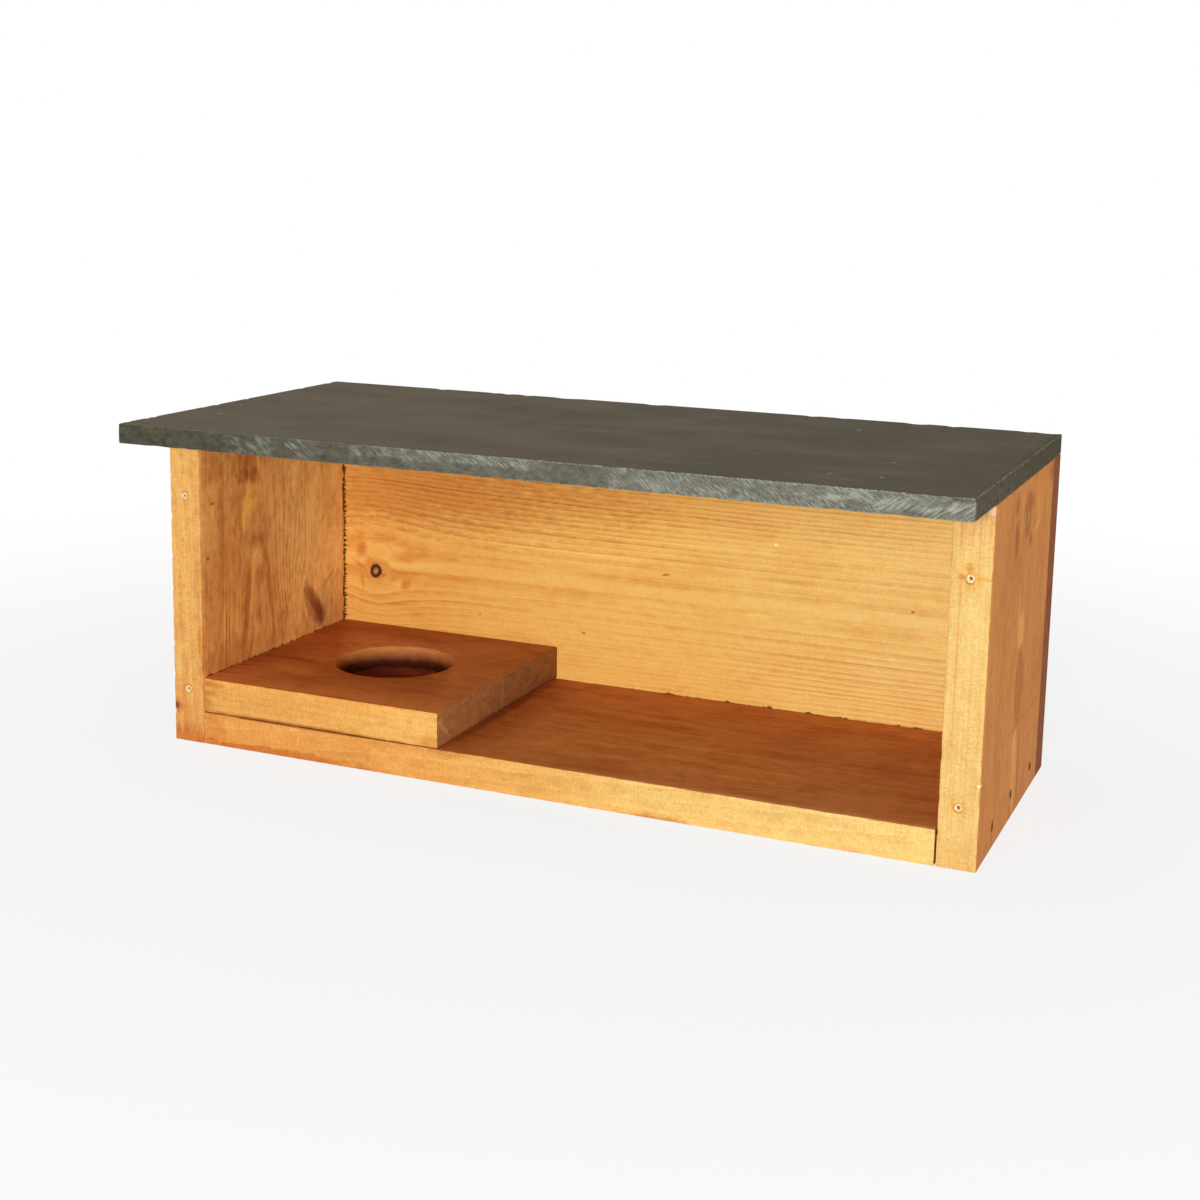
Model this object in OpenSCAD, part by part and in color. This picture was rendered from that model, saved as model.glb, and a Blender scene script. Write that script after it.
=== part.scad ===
// Swift nest box: five nailed boards under a slate, with a loose nest block inside.
// Millimetres. The origin is on the surface that the box stands on, under the middle of
// its outline. +X runs to the right as seen from the open front, +Y to the back, +Z up.

/* [Box] */
// Outside width over the two sides
box_w = 470; // [380:1:700]
// Height of the sides and of the back panel
side_h = 182; // [150:1:260]
// Depth of a side, from its front edge to its rear edge
side_d = 158; // [130:1:240]
// Thickness of each side
side_t = 20; // [16:0.5:25]
// Thickness of the back panel
back_t = 20; // [16:0.5:25]
// Thickness of the floor board
floor_t = 19; // [16:0.5:25]
// Shadow gap between the rear edges of the sides and the back panel
back_gap = 0.5; // [0.2:0.1:0.9]
// Gap that the floor board leaves at the right side
floor_end_gap = 0.8; // [0.2:0.1:0.9]
// Chamfer that eases the arrises of the wooden boards
arris = 0.5; // [0.2:0.1:1]

/* [Roof] */
// Thickness of the slate
slate_t = 11; // [8:0.5:15]
// How far the slate stands out past the front edges of the sides
front_overhang = 48; // [20:1:90]
// How far the slate stops short of the left side's outer face
slate_left_inset = 2; // [0:0.5:5]
// Chamfer that eases the slate's sawn arrises
slate_arris = 0.6; // [0.2:0.1:1.5]

/* [Nest block] */
// Width of the nest block along the box
block_w = 153; // [120:1:200]
// Thickness of the nest block
block_t = 20; // [15:0.5:30]
// Diameter of the round nest hole
hole_d = 71; // [50:1:90]
// Centre of the nest hole, from the block's left end
hole_from_left = 80; // [55:1:90]
// Centre of the nest hole, from the block's front edge
hole_from_front = 82; // [50:1:85]
// Chamfer round both rims of the nest hole
hole_rim = 0.5; // [0.2:0.1:1.5]
// Room round the loose block: below it, at its left end, in front and behind
block_clearance = 0.3; // [0.2:0.1:0.8]

/* [Front panel screw holes] */
// Diameter of each screw hole
screw_hole_d = 2.2; // [1.6:0.1:3.5]
// Depth of each screw hole
screw_hole_depth = 26; // [15:1:28]
// Upper screw holes, down from the top of a side
screw_from_top = 36; // [25:1:55]
// Lower screw holes, up from the bottom of a side
screw_from_bottom = 32; // [28:1:50]

/* [Nails] */
// Length of every nail
nail_len = 40; // [34:1:44]
// Diameter of a nail's shank
nail_d = 2.2; // [1.6:0.1:3]
// Diameter of a nail's head
head_d = 3.4; // [3.1:0.1:4.5]
// Height of the head's straight rim
head_t = 0.8; // [0.4:0.1:1.5]
// Length of a nail's point
point_len = 4; // [2:0.5:6]
// How deep the heads are punched below the surface
punch_depth = 1.2; // [0.4:0.1:2]
// Room round a nail in its hole
nail_clearance = 0.05; // [0.02:0.01:0.1]
// First floor nail, from the front edge of a side
floor_nail_from_front = 36; // [34:1:50]
// Last floor nail, from the rear edge of a side
floor_nail_from_rear = 20; // [12:1:30]
// Floor nails, below the floor board's top face
floor_nail_below_top = 7; // [6:0.5:9]
// Outermost back nails, from the top and the bottom of a side
back_nail_from_end = 30; // [28:1:45]
// Outermost back nails of the floor board, from its ends
back_floor_nail_from_end = 95; // [60:1:150]
// Front roof nails, from the front edge of a side
roof_nail_from_front = 35; // [32:1:45]
// From the front roof nail to the rear one
roof_nail_pitch = 75; // [50:1:75]

/* [Hidden] */
$fn = 64;

LEFT = -1;
RIGHT = 1;
nails_in_a_row = 3;
// Cuts run this far past a face
past = 1;

// Where the boards lie
outer_x = box_w / 2;
inner_x = outer_x - side_t;
mid_side_x = outer_x - side_t / 2;
whole_d = front_overhang + side_d + back_gap + back_t;
slate_front_y = -whole_d / 2;
front_y = slate_front_y + front_overhang;
rear_y = front_y + side_d;
back_panel_y = rear_y + back_gap;
behind_y = back_panel_y + back_t;
top_z = side_h + slate_t;
block_x = -inner_x + block_clearance;
block_y = front_y + block_clearance;
block_z = floor_t + block_clearance;
block_d = side_d + back_gap - 2 * block_clearance;
floor_w = 2 * inner_x - floor_end_gap;

// A nail's own measures, down from the surface that it was driven through
head_r = head_d / 2;
shank_r = nail_d / 2;
head_end = punch_depth + head_t;
nail_end = punch_depth + nail_len;

// Nails driven by hand wander off their line: along the row, then up
right_floor_wander = [[0, -1], [-4, 1], [0, 0]];
left_floor_wander = [[1, 0], [3, -1], [-2, 1]];

SLATE = [0.38, 0.36, 0.31];
FRESH_PINE = [0.93, 0.71, 0.38];
STAINED_PINE = [0.76, 0.52, 0.27];
DARK_PINE = [0.55, 0.29, 0.13];
STEEL = [0.42, 0.40, 0.38];

// The i-th of n places spread evenly from first to last
function spread(first, last, i, n) = first + (last - first) * i / (n - 1);

// Half the section of a nail, or of its hole when it is grown and starts above the surface
function nail_outline(grow, start) = [
    [0, start],
    [head_r + grow, start],
    [head_r + grow, head_end],
    [shank_r + grow, head_end + head_r - shank_r],
    [shank_r + grow, nail_end - point_len],
    [0, nail_end + grow * point_len / shank_r]
];

module nail() rotate_extrude() polygon(nail_outline(0, punch_depth));

module nail_hole() rotate_extrude() polygon(nail_outline(nail_clearance, -past));

module eased_rectangle(size, ease)
    polygon([
        [ease, 0], [size.x - ease, 0], [size.x, ease], [size.x, size.y - ease],
        [size.x - ease, size.y], [ease, size.y], [0, size.y - ease], [0, ease]
    ]);

// A board with its lowest corner at the origin and every arris eased
module eased_board(size, ease)
    intersection() {
        linear_extrude(size.z) eased_rectangle([size.x, size.y], ease);
        translate([0, size.y, 0]) rotate([90, 0, 0])
            linear_extrude(size.y) eased_rectangle([size.x, size.z], ease);
        rotate([90, 0, 90]) linear_extrude(size.x) eased_rectangle([size.y, size.z], ease);
    }

// Each of these puts its children at the surface where a nail goes in, with +Z inwards
module floor_nail_places(hand, wander)
    for (i = [0 : nails_in_a_row - 1])
        translate([
            hand * outer_x,
            spread(front_y + floor_nail_from_front, rear_y - floor_nail_from_rear, i,
                nails_in_a_row) + wander[i][0],
            floor_t - floor_nail_below_top + wander[i][1]
        ])
            rotate([0, -90 * hand, 0]) children();

module back_side_nail_places(hand)
    for (i = [0 : nails_in_a_row - 1])
        translate([
            hand * mid_side_x, behind_y,
            spread(back_nail_from_end, side_h - back_nail_from_end, i, nails_in_a_row)
        ])
            rotate([90, 0, 0]) children();

module back_floor_nail_places()
    for (i = [0 : nails_in_a_row - 1])
        translate([
            spread(-inner_x + back_floor_nail_from_end, inner_x - back_floor_nail_from_end, i,
                nails_in_a_row),
            behind_y, floor_t / 2
        ])
            rotate([90, 0, 0]) children();

module roof_nail_places(hand)
    for (y = [roof_nail_from_front, roof_nail_from_front + roof_nail_pitch])
        translate([hand * mid_side_x, front_y + y, top_z]) rotate([180, 0, 0]) children();

// Screw holes for the front panel, in the front edge of one side
module screw_holes(hand)
    for (z = [screw_from_bottom, side_h - screw_from_top])
        translate([hand * mid_side_x, front_y - past, z]) rotate([-90, 0, 0])
            cylinder(d = screw_hole_d, h = screw_hole_depth + past);

// A side board with all its holes; hand says which end of the box it closes
module side(hand, wander)
    difference() {
        translate([hand < 0 ? -outer_x : inner_x, front_y, 0])
            eased_board([side_t, side_d, side_h], arris);
        screw_holes(hand);
        floor_nail_places(hand, wander) nail_hole();
        back_side_nail_places(hand) nail_hole();
        roof_nail_places(hand) nail_hole();
    }

module left_side() color(STAINED_PINE) side(LEFT, left_floor_wander);

module right_side() color(STAINED_PINE) side(RIGHT, right_floor_wander);

module back_panel() color(FRESH_PINE)
    difference() {
        translate([-outer_x, back_panel_y, 0]) eased_board([box_w, back_t, side_h], arris);
        back_side_nail_places(LEFT) nail_hole();
        back_side_nail_places(RIGHT) nail_hole();
        back_floor_nail_places() nail_hole();
    }

module floor_board() color(DARK_PINE)
    difference() {
        translate([-inner_x, front_y, 0]) eased_board([floor_w, side_d, floor_t], arris);
        floor_nail_places(LEFT, left_floor_wander) nail_hole();
        floor_nail_places(RIGHT, right_floor_wander) nail_hole();
        back_floor_nail_places() nail_hole();
    }

// The slate runs from just inside the left outer face to the right outer face
module roof_slab() color(SLATE)
    difference() {
        translate([-outer_x + slate_left_inset, slate_front_y, side_h])
            eased_board([box_w - slate_left_inset, whole_d, slate_t], slate_arris);
        roof_nail_places(LEFT) nail_hole();
        roof_nail_places(RIGHT) nail_hole();
    }

// Half the section of the nest hole, with both rims eased
module nest_hole()
    rotate_extrude($fn = 128)
        polygon([
            [0, -past],
            [hole_d / 2 + hole_rim + past, -past],
            [hole_d / 2, hole_rim],
            [hole_d / 2, block_t - hole_rim],
            [hole_d / 2 + hole_rim + past, block_t + past],
            [0, block_t + past]
        ]);

module nest_block() color(DARK_PINE)
    translate([block_x, block_y, block_z])
        difference() {
            eased_board([block_w, block_d, block_t], arris);
            translate([hole_from_left, hole_from_front, 0]) nest_hole();
        }

module left_floor_nails() color(STEEL) floor_nail_places(LEFT, left_floor_wander) nail();

module right_floor_nails() color(STEEL) floor_nail_places(RIGHT, right_floor_wander) nail();

module back_side_nails() color(STEEL) {
    back_side_nail_places(LEFT) nail();
    back_side_nail_places(RIGHT) nail();
}

module back_floor_nails() color(STEEL) back_floor_nail_places() nail();

module roof_nails() color(STEEL) {
    roof_nail_places(LEFT) nail();
    roof_nail_places(RIGHT) nail();
}

roof_slab();
left_side();
right_side();
back_panel();
floor_board();
nest_block();
left_floor_nails();
right_floor_nails();
back_side_nails();
back_floor_nails();
roof_nails();
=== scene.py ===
"""The looks of a swift nest box: stained pine boards, a sawn slate and punched nails.

Meshes are modelled in metres, each at the place of the solid that it stands for.
Finishes are solid patterns, worked out in millimetres of the same frame.
"""

import functools
import logging
import math
import random
from contextlib import contextmanager
from dataclasses import dataclass, field
from enum import Enum
from typing import Callable, Iterator

import bmesh
import bpy
from mathutils import Matrix, Vector


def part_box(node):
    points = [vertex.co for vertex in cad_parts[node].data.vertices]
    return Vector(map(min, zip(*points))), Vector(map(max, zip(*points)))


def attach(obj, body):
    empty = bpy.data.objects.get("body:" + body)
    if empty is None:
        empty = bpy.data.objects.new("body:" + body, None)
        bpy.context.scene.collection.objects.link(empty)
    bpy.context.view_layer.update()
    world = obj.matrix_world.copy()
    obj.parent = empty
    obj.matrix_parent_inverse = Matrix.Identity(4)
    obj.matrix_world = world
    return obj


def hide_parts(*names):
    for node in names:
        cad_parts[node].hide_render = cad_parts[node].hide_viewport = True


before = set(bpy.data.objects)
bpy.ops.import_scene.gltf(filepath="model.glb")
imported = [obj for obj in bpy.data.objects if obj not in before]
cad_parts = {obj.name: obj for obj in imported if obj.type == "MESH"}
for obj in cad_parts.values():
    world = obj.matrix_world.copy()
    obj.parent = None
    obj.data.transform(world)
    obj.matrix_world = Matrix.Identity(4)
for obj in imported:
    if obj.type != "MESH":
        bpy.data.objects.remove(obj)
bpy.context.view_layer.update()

log = logging.getLogger("nest_box")

MM = 0.001
# The axes of the frame, and those of a board: along its grain, across its face and through it
X, Y, Z = range(3)
ALONG, ACROSS, THROUGH = range(3)
# A half size that no board reaches, in millimetres
ALL_THROUGH = 1e4
# Where the box's faces and the middle of its nest hole lie, in millimetres
INNER_X, OUTER_X = 215, 235
FRONT_Y = -65.25
FLOOR_TOP, SIDE_TOP, SLATE_TOP = 19, 182, 193
BLOCK_RIGHT, BLOCK_FRONT, BLOCK_TOP = -61.7, -64.95, 39.3
HOLE_X, HOLE_Y = -134.7, 17.05

Colour = tuple[float, float, float, float]
Triple = tuple[float, float, float]
Pair = tuple[float, float]
Box = tuple[Triple, Triple]
Stops = tuple[tuple[float, Colour], ...]
Value = "Field | float | Triple | Colour"
Piece = bpy.types.Object
Material = bpy.types.Material


def seen(red: int, green: int, blue: int) -> Colour:
    """Turns a colour as a screen shows it into the linear one that a shader takes.

    Args:
        red: Red part, 0 to 255.
        green: Green part, 0 to 255.
        blue: Blue part, 0 to 255.

    Returns:
        The linear colour, opaque.
    """
    parts = [part / 255 for part in (red, green, blue)]
    linear = [p / 12.92 if p <= 0.04045 else ((p + 0.055) / 1.055) ** 2.4 for p in parts]
    return (linear[0], linear[1], linear[2], 1.0)


def times(red: float, green: float, blue: float) -> Colour:
    """Gives the colour of a tint: what it multiplies each part of the wood's colour by."""
    return (red, green, blue, 1.0)


def spot(sockets: bpy.types.bpy_prop_collection, key: int | str) -> bpy.types.NodeSocket:
    """Finds one of a node's sockets.

    Args:
        sockets: The node's inputs or outputs.
        key: The socket's number, identifier or name.

    Returns:
        The socket.
    """
    if isinstance(key, int):
        return sockets[key]
    return next((s for s in sockets if s.identifier == key), None) or sockets[key]


class Field:
    """A number or a vector that varies over a surface; Python's operators add its maths nodes."""

    def __init__(self, shader: "Nodes", socket: bpy.types.NodeSocket) -> None:
        """Wraps an output socket of one of the shader's nodes."""
        self.shader = shader
        self.socket = socket

    def maths(self, operation: str, first: Value, second: Value = 0.0) -> "Field":
        """Adds a Math node, or a Vector Math node where this is a vector.

        Args:
            operation: What the node does.
            first: Its first value.
            second: Its second value.

        Returns:
            What it works out.
        """
        vector = self.socket.type == "VECTOR"
        kind = "ShaderNodeVectorMath" if vector else "ShaderNodeMath"
        return self.shader.node(kind, {"operation": operation}, {0: first, 1: second})

    def __add__(self, other: Value) -> "Field":
        """Adds a value."""
        return self.maths("ADD", self, other)

    __radd__ = __add__

    def __sub__(self, other: Value) -> "Field":
        """Takes a value away."""
        return self.maths("SUBTRACT", self, other)

    def __rsub__(self, other: Value) -> "Field":
        """Is taken away from a value."""
        return self.maths("SUBTRACT", other, self)

    def __mul__(self, other: Value) -> "Field":
        """Multiplies by a value."""
        return self.maths("MULTIPLY", self, other)

    __rmul__ = __mul__

    def __truediv__(self, other: Value) -> "Field":
        """Divides by a value."""
        return self.maths("DIVIDE", self, other)

    def __rtruediv__(self, other: Value) -> "Field":
        """Divides a value."""
        return self.maths("DIVIDE", other, self)

    def __abs__(self) -> "Field":
        """Drops the sign."""
        return self.maths("ABSOLUTE", self)

    def least(self, other: Value) -> "Field":
        """Takes the lesser of this and a value."""
        return self.maths("MINIMUM", self, other)

    def most(self, other: Value) -> "Field":
        """Takes the greater of this and a value."""
        return self.maths("MAXIMUM", self, other)

    def root(self) -> "Field":
        """Takes the square root."""
        return self.maths("SQRT", self)

    def whole(self) -> "Field":
        """Rounds down."""
        return self.maths("FLOOR", self)

    def part(self) -> "Field":
        """Keeps what is left after rounding down."""
        return self.maths("FRACT", self)

    def length(self) -> "Field":
        """Measures a vector."""
        return self.shader.node("ShaderNodeVectorMath", {"operation": "LENGTH"}, {0: self}, "Value")

    def split(self) -> tuple["Field", "Field", "Field"]:
        """Takes a vector apart.

        Returns:
            Its three parts.
        """
        node = self.shader.node("ShaderNodeSeparateXYZ", {}, {0: self}).socket.node
        first, second, third = (Field(self.shader, output) for output in node.outputs)
        return first, second, third


class Grain(Enum):
    """How a board lies: the axes along its grain, across its face and through it."""

    WALL = (X, Z, Y)
    SHELF = (X, Y, Z)
    UPRIGHT = (Z, Y, X)

    def turn(self, point: Vector) -> Triple:
        """Puts a point's parts in the board's order."""
        along, across, through = (point[axis] for axis in self.value)
        return (along, across, through)


class Nodes:
    """The nodes of a material or of the world."""

    def __init__(self, tree: bpy.types.NodeTree) -> None:
        """Starts on a tree of nodes."""
        self.tree = tree

    def node(
        self,
        kind: str,
        settings: dict | None = None,
        sockets: dict | None = None,
        output: int | str = 0,
    ) -> Field:
        """Adds a node.

        Args:
            kind: The node's type.
            settings: Its properties, and stops for a colour ramp, as (place, colour) pairs.
            sockets: A value or a Field for each input named.
            output: The output that is wanted.

        Returns:
            That output.
        """
        added = self.tree.nodes.new(kind)
        for name, value in (settings or {}).items():
            if name == "stops":
                self._set_stops(added.color_ramp, value)
            else:
                setattr(added, name, value)
        for key, value in (sockets or {}).items():
            self.feed(spot(added.inputs, key), value)
        return Field(self, spot(added.outputs, output))

    def feed(self, socket: bpy.types.NodeSocket, value: Value) -> None:
        """Links a Field to an input, or sets a plain value on it.

        Args:
            socket: The input.
            value: What it takes; a lone number fills a whole vector.
        """
        if isinstance(value, Field):
            self.tree.links.new(value.socket, socket)
        elif socket.type == "VECTOR":
            socket.default_value = (value,) * 3 if isinstance(value, (int, float)) else value[:3]
        else:
            socket.default_value = value

    def _set_stops(self, ramp: bpy.types.ColorRamp, stops: Stops) -> None:
        """Gives a ramp its stops.

        Args:
            ramp: The ramp, which starts with two stops.
            stops: The place and colour of each, from the first to the last.
        """
        while len(ramp.elements) < len(stops):
            ramp.elements.new(0.5)
        for element, (place, colour) in zip(ramp.elements, stops):
            element.position = place
            element.color = colour

    def background_share(self) -> Field:
        """Tells the rays that see the background from those that carry its light.

        Returns:
            1 for the camera's rays and those it sees by a mirror or through glass, else 0.
        """
        rays = self.node("ShaderNodeLightPath").socket.node.outputs
        camera, glossy, through = (
            Field(self, rays[name])
            for name in ("Is Camera Ray", "Is Glossy Ray", "Is Transmission Ray")
        )
        return camera.most(glossy).most(through)


class Shader(Nodes):
    """One material, with the few steps that every finish is made of.

    Attributes:
        material: The material.
        surface: Its Principled shader.
        grain: How the board that it is for lies.
        place: The point on the object in millimetres, in the board's order.
        clouds: The noise that strays outlines; 0.5 all over until a finish sets its own.
    """

    def __init__(self, name: str, grain: Grain = Grain.SHELF) -> None:
        """Starts a material.

        Args:
            name: The material's name.
            grain: How the board that it is for lies.
        """
        self.material = bpy.data.materials.new(name)
        self.material.use_nodes = True
        super().__init__(self.material.node_tree)
        self.surface = self.tree.nodes["Principled BSDF"]
        self.grain = grain
        self.place = self._in_order(self.node("ShaderNodeTexCoord", output="Object") * (1 / MM))
        self.clouds: Field | float = 0.5

    def facing(self) -> Field:
        """Gives the surface's normal, in the board's order."""
        return self._in_order(self.node("ShaderNodeTexCoord", output="Normal"))

    def _in_order(self, vector: Field) -> Field:
        """Puts a vector's parts in the board's order."""
        parts = vector.split()
        return self.vector(*(parts[axis] for axis in self.grain.value))

    def vector(self, first: Value, second: Value = 0.0, third: Value = 0.0) -> Field:
        """Puts three numbers together, or lays one on a line for noise that runs one way."""
        return self.node("ShaderNodeCombineXYZ", {}, {0: first, 1: second, 2: third})

    def noise(
        self, size: Triple | float, detail: float = 2.0, rough: float = 0.5, at: Field | None = None
    ) -> Field:
        """Gives cloudy noise.

        Args:
            size: How far its clouds reach each way, in millimetres.
            detail: How many finer layers it has.
            rough: How strong each finer layer is.
            at: Where it is read, if not at the point on the object.

        Returns:
            A number near 0.5, seldom under 0.2 or over 0.8.
        """
        place = (at or self.place) / size
        sockets = {"Vector": place, "Scale": 1.0, "Detail": detail, "Roughness": rough}
        return self.node("ShaderNodeTexNoise", {"noise_dimensions": "3D"}, sockets)

    def random(self, number: Field) -> Field:
        """Gives each whole number a fixed random share of one."""
        return self.node("ShaderNodeTexWhiteNoise", {"noise_dimensions": "1D"}, {"W": number})

    def rise(self, value: Value, low: float, high: float) -> Field:
        """Climbs smoothly from 0, where the value is low, to 1, where it is high."""
        sockets = {"Value": value, "From Min": low, "From Max": high}
        return self.node("ShaderNodeMapRange", {"interpolation_type": "SMOOTHSTEP"}, sockets)

    def fall(self, value: Value, low: float, high: float) -> Field:
        """Drops smoothly from 1, where the value is low, to 0, where it is high."""
        return 1 - self.rise(value, low, high)

    def patch(self, away: Field, soft: float, cover: float) -> Field:
        """Gives a patch's cover where the distance is under 1, and fades it out past that."""
        return cover - self.rise(away, 1 - soft, 1 + soft) * cover

    def ramp(self, stops: Stops, value: Field) -> Field:
        """Colours a number by the stops of a ramp."""
        return self.node("ShaderNodeValToRGB", {"stops": stops}, {0: value}, "Color")

    def mix(self, share: Value, first: Value, second: Value, blend: str = "MIX") -> Field:
        """Blends the second colour over the first.

        Args:
            share: How much of the second one shows.
            first: The colour below.
            second: The colour over it.
            blend: How the two blend.

        Returns:
            The blend.
        """
        sockets = {"Factor_Float": share, "A_Color": first, "B_Color": second}
        settings = {"data_type": "RGBA", "blend_type": blend}
        return self.node("ShaderNodeMix", settings, sockets, "Result_Color")

    def toned(self, colour: Field | Colour, tone: Field) -> Field:
        """Makes a colour lighter or darker by a factor."""
        sockets = {0: colour, "Scale": tone}
        return self.node("ShaderNodeVectorMath", {"operation": "SCALE"}, sockets)

    def local(self, place: Field, at: Triple, reach: Triple, turn: float = 0.0) -> Field:
        """Measures a place from a centre, in units of a reach each way.

        Args:
            place: Where it is read.
            at: The centre.
            reach: The length of one unit along each axis.
            turn: How far the axes are turned about the third, in degrees.

        Returns:
            The place in those units.
        """
        sockets = {
            "Vector": place,
            "Location": at,
            "Rotation": (0.0, 0.0, math.radians(turn)),
            "Scale": reach,
        }
        return self.node("ShaderNodeMapping", {"vector_type": "TEXTURE"}, sockets)

    def arris_distance(self, box: Box) -> Field:
        """Measures how far a point on a block's face lies from the nearest arris.

        Args:
            box: The block's two corners, in the board's order.

        Returns:
            The distance, in millimetres.
        """
        low, high = box
        first, second, third = (self.place - low).least(high - self.place).split()
        return first.least(second).most(first.most(second).least(third))

    def finish(
        self, colour: Field, rough: Value, height: Field, strength: float, gloss: float
    ) -> Material:
        """Joins a colour, a roughness and a relief to the surface.

        Args:
            colour: The base colour.
            rough: The roughness.
            height: The relief, in millimetres.
            strength: How strongly the relief shows.
            gloss: The specular level.

        Returns:
            The finished material.
        """
        sockets = {"Height": height, "Strength": strength, "Distance": MM}
        self.feed(self.surface.inputs["Base Color"], colour)
        self.feed(self.surface.inputs["Roughness"], rough)
        self.feed(self.surface.inputs["Normal"], self.node("ShaderNodeBump", {}, sockets))
        self.surface.inputs["Specular IOR Level"].default_value = gloss
        return self.material


@dataclass(frozen=True)
class Mark:
    """A patch, streak or speck on a face, in millimetres of the board's order.

    Attributes:
        at: Its centre, along, across and through.
        reach: Its half sizes.
        colour: What it brings.
        cover: How much of that colour covers the face.
        turn: How far it is turned on the face, in degrees.
        soft: How wide its edge is, as a share of its size.
        ragged: How far its outline strays, as a share of its size.
    """

    at: Triple
    reach: Triple
    colour: Colour = (0.0, 0.0, 0.0, 1.0)
    cover: float = 0.6
    turn: float = 0.0
    soft: float = 0.5
    ragged: float = 0.3

    def share(self, shader: Shader) -> Field:
        """Tells how much of the mark lies on each point.

        Args:
            shader: The material's nodes.

        Returns:
            A share from 0 to the mark's cover.
        """
        away = shader.local(shader.place, self.at, self.reach, self.turn).length()
        strayed = away + (shader.clouds - 0.5) * (5 * self.ragged)
        return shader.patch(strayed, self.soft, self.cover)

    def over(self, shader: Shader, under: Field) -> Field:
        """Lays the mark over a colour."""
        return shader.mix(self.share(shader), under, self.colour)


@dataclass(frozen=True)
class Tint(Mark):
    """A patch that multiplies the wood's colour: where the stain took more or less, and for painted
    shade and light.
    """

    def over(self, shader: Shader, under: Field) -> Field:
        """Tints a colour, and leaves its grain to show."""
        return shader.mix(self.share(shader), under, self.colour, "MULTIPLY")


@dataclass(frozen=True)
class Face:
    """A face of a board, which marks are laid on.

    Attributes:
        axis: The board's axis that it lies across.
        at: Where it lies on that axis, in millimetres.
        deep: How far into the board its marks reach.
    """

    axis: int
    at: float
    deep: float = 4.0

    def _whole(self, pair: Pair, third: float) -> Triple:
        """Adds a number to two others, in the place of this face's axis."""
        return (*pair[: self.axis], third, *pair[self.axis :])

    def mark(
        self, at: Pair, reach: Pair, *look: Colour | float, kind: type[Mark] = Mark, **more: float
    ) -> Mark:
        """Makes a mark on the face.

        Args:
            at: Its centre on the face.
            reach: Its half sizes.
            look: Its colour, cover, turn, soft and ragged, in that order.
            kind: Whether it covers or tints.
            more: Those of its looks that are given by name.

        Returns:
            The mark.
        """
        return kind(self._whole(at, self.at), self._whole(reach, self.deep), *look, **more)

    def tint(self, at: Pair, reach: Pair, *look: Colour | float, **more: float) -> Mark:
        """Makes a tint on the face, as mark does."""
        return self.mark(at, reach, *look, kind=Tint, **more)


@dataclass(frozen=True)
class StainAndShadeSeam:
    """A dark ragged line along a joint: gathered stain and painted shade of the gap, towards higher
    places.

    Attributes:
        axis: Which of the board's axes is measured away from the joint.
        at: Where the joint lies on that axis.
        run: The axis that it runs along, where it starts and where it ends.
        face: The face that it lies on.
        width: Its least and greatest width.
        pitch: How far apart its blobs are.
        colour: Its colour.
        cover: How much of that colour covers the face.
    """

    axis: int
    at: float
    run: tuple[int, float, float]
    face: Face
    width: Pair
    pitch: float
    colour: Colour
    cover: float = 0.85

    def over(self, shader: Shader, under: Field) -> Field:
        """Lays the seam over a colour; its blobs follow a noise of their own.

        Args:
            shader: The material's nodes.
            under: The colour under it.

        Returns:
            The colour with the seam.
        """
        parts = shader.place.split()
        axis, start, end = self.run
        low, high = self.width
        beads = shader.noise((self.pitch, 1.0, 1.0), detail=4.0, at=shader.vector(parts[axis]))
        fray = shader.noise(1.1)
        width = low + shader.rise(beads, 0.36, 0.68) * (high - low)
        away = (parts[self.axis] - self.at) + (fray - 0.5) * 2.4 + (shader.clouds - 0.5)
        inside = shader.rise(width - away, -0.3, 0.3) * shader.rise(away, -3.0, -2.0)
        depth = abs(parts[self.face.axis] - self.face.at)
        inside = inside * shader.fall(depth, self.face.deep / 2, self.face.deep)
        ends = shader.rise(parts[axis], start - 2, start + 2)
        ends = ends * shader.fall(parts[axis], end - 2, end + 2)
        return shader.mix(inside * ends * self.cover, under, self.colour)


@dataclass(frozen=True)
class Knot:
    """A knot that passes through a board, in millimetres.

    Attributes:
        at: Its centre, along and across.
        reach: Its half sizes, along and across.
        stops: Its colours from the centre out to its rim.
        turn: How far it is turned on the face, in degrees.
        sweep: How far the grain bends round it, in its own sizes.
        cover: How much it covers the wood.
        soft: How wide its outline is, as a share of its size.
    """

    at: Pair
    reach: Pair
    stops: Stops
    turn: float = 0.0
    sweep: float = 2.0
    cover: float = 1.0
    soft: float = 0.12

    def _away(self, shader: Shader, scale: float) -> Field:
        """Measures the distance from the knot in its own sizes, times a scale."""
        reach = (self.reach[0] * scale, self.reach[1] * scale, ALL_THROUGH)
        return shader.local(shader.place, (*self.at, 0.0), reach, self.turn).length()

    def bend(self, shader: Shader, across: Field) -> Field:
        """Bends the grain round the knot, as a stream bends round a post."""
        away = self._away(shader, self.sweep)
        return across - (across - self.at[1]) / (1 + away * away)

    def over(self, shader: Shader, under: Field) -> Field:
        """Lays the knot over the wood's colour.

        Args:
            shader: The wood's shader.
            under: The colour so far.

        Returns:
            The colour with the knot in it.
        """
        away = self._away(shader, 1.0) + (shader.clouds - 0.5) * 0.8
        heart = shader.ramp(self.stops, away)
        return shader.mix(shader.patch(away, self.soft, self.cover), under, heart)


@dataclass(frozen=True)
class Rings:
    """How the tree's year rings lie in a board, in millimetres.

    Attributes:
        pith: Where the middle of the tree passes, across the board and through it.
        spacing: The width of a year ring.
        lean: How far the pith shifts across and through, for each millimetre along.
        crowding: How unevenly the rings follow each other, in rings.
        sway: How far the grain wanders from a straight line.
    """

    pith: Pair
    spacing: float
    lean: Pair = (0.0, 0.0)
    crowding: float = 0.5
    sway: float = 2.0


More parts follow.
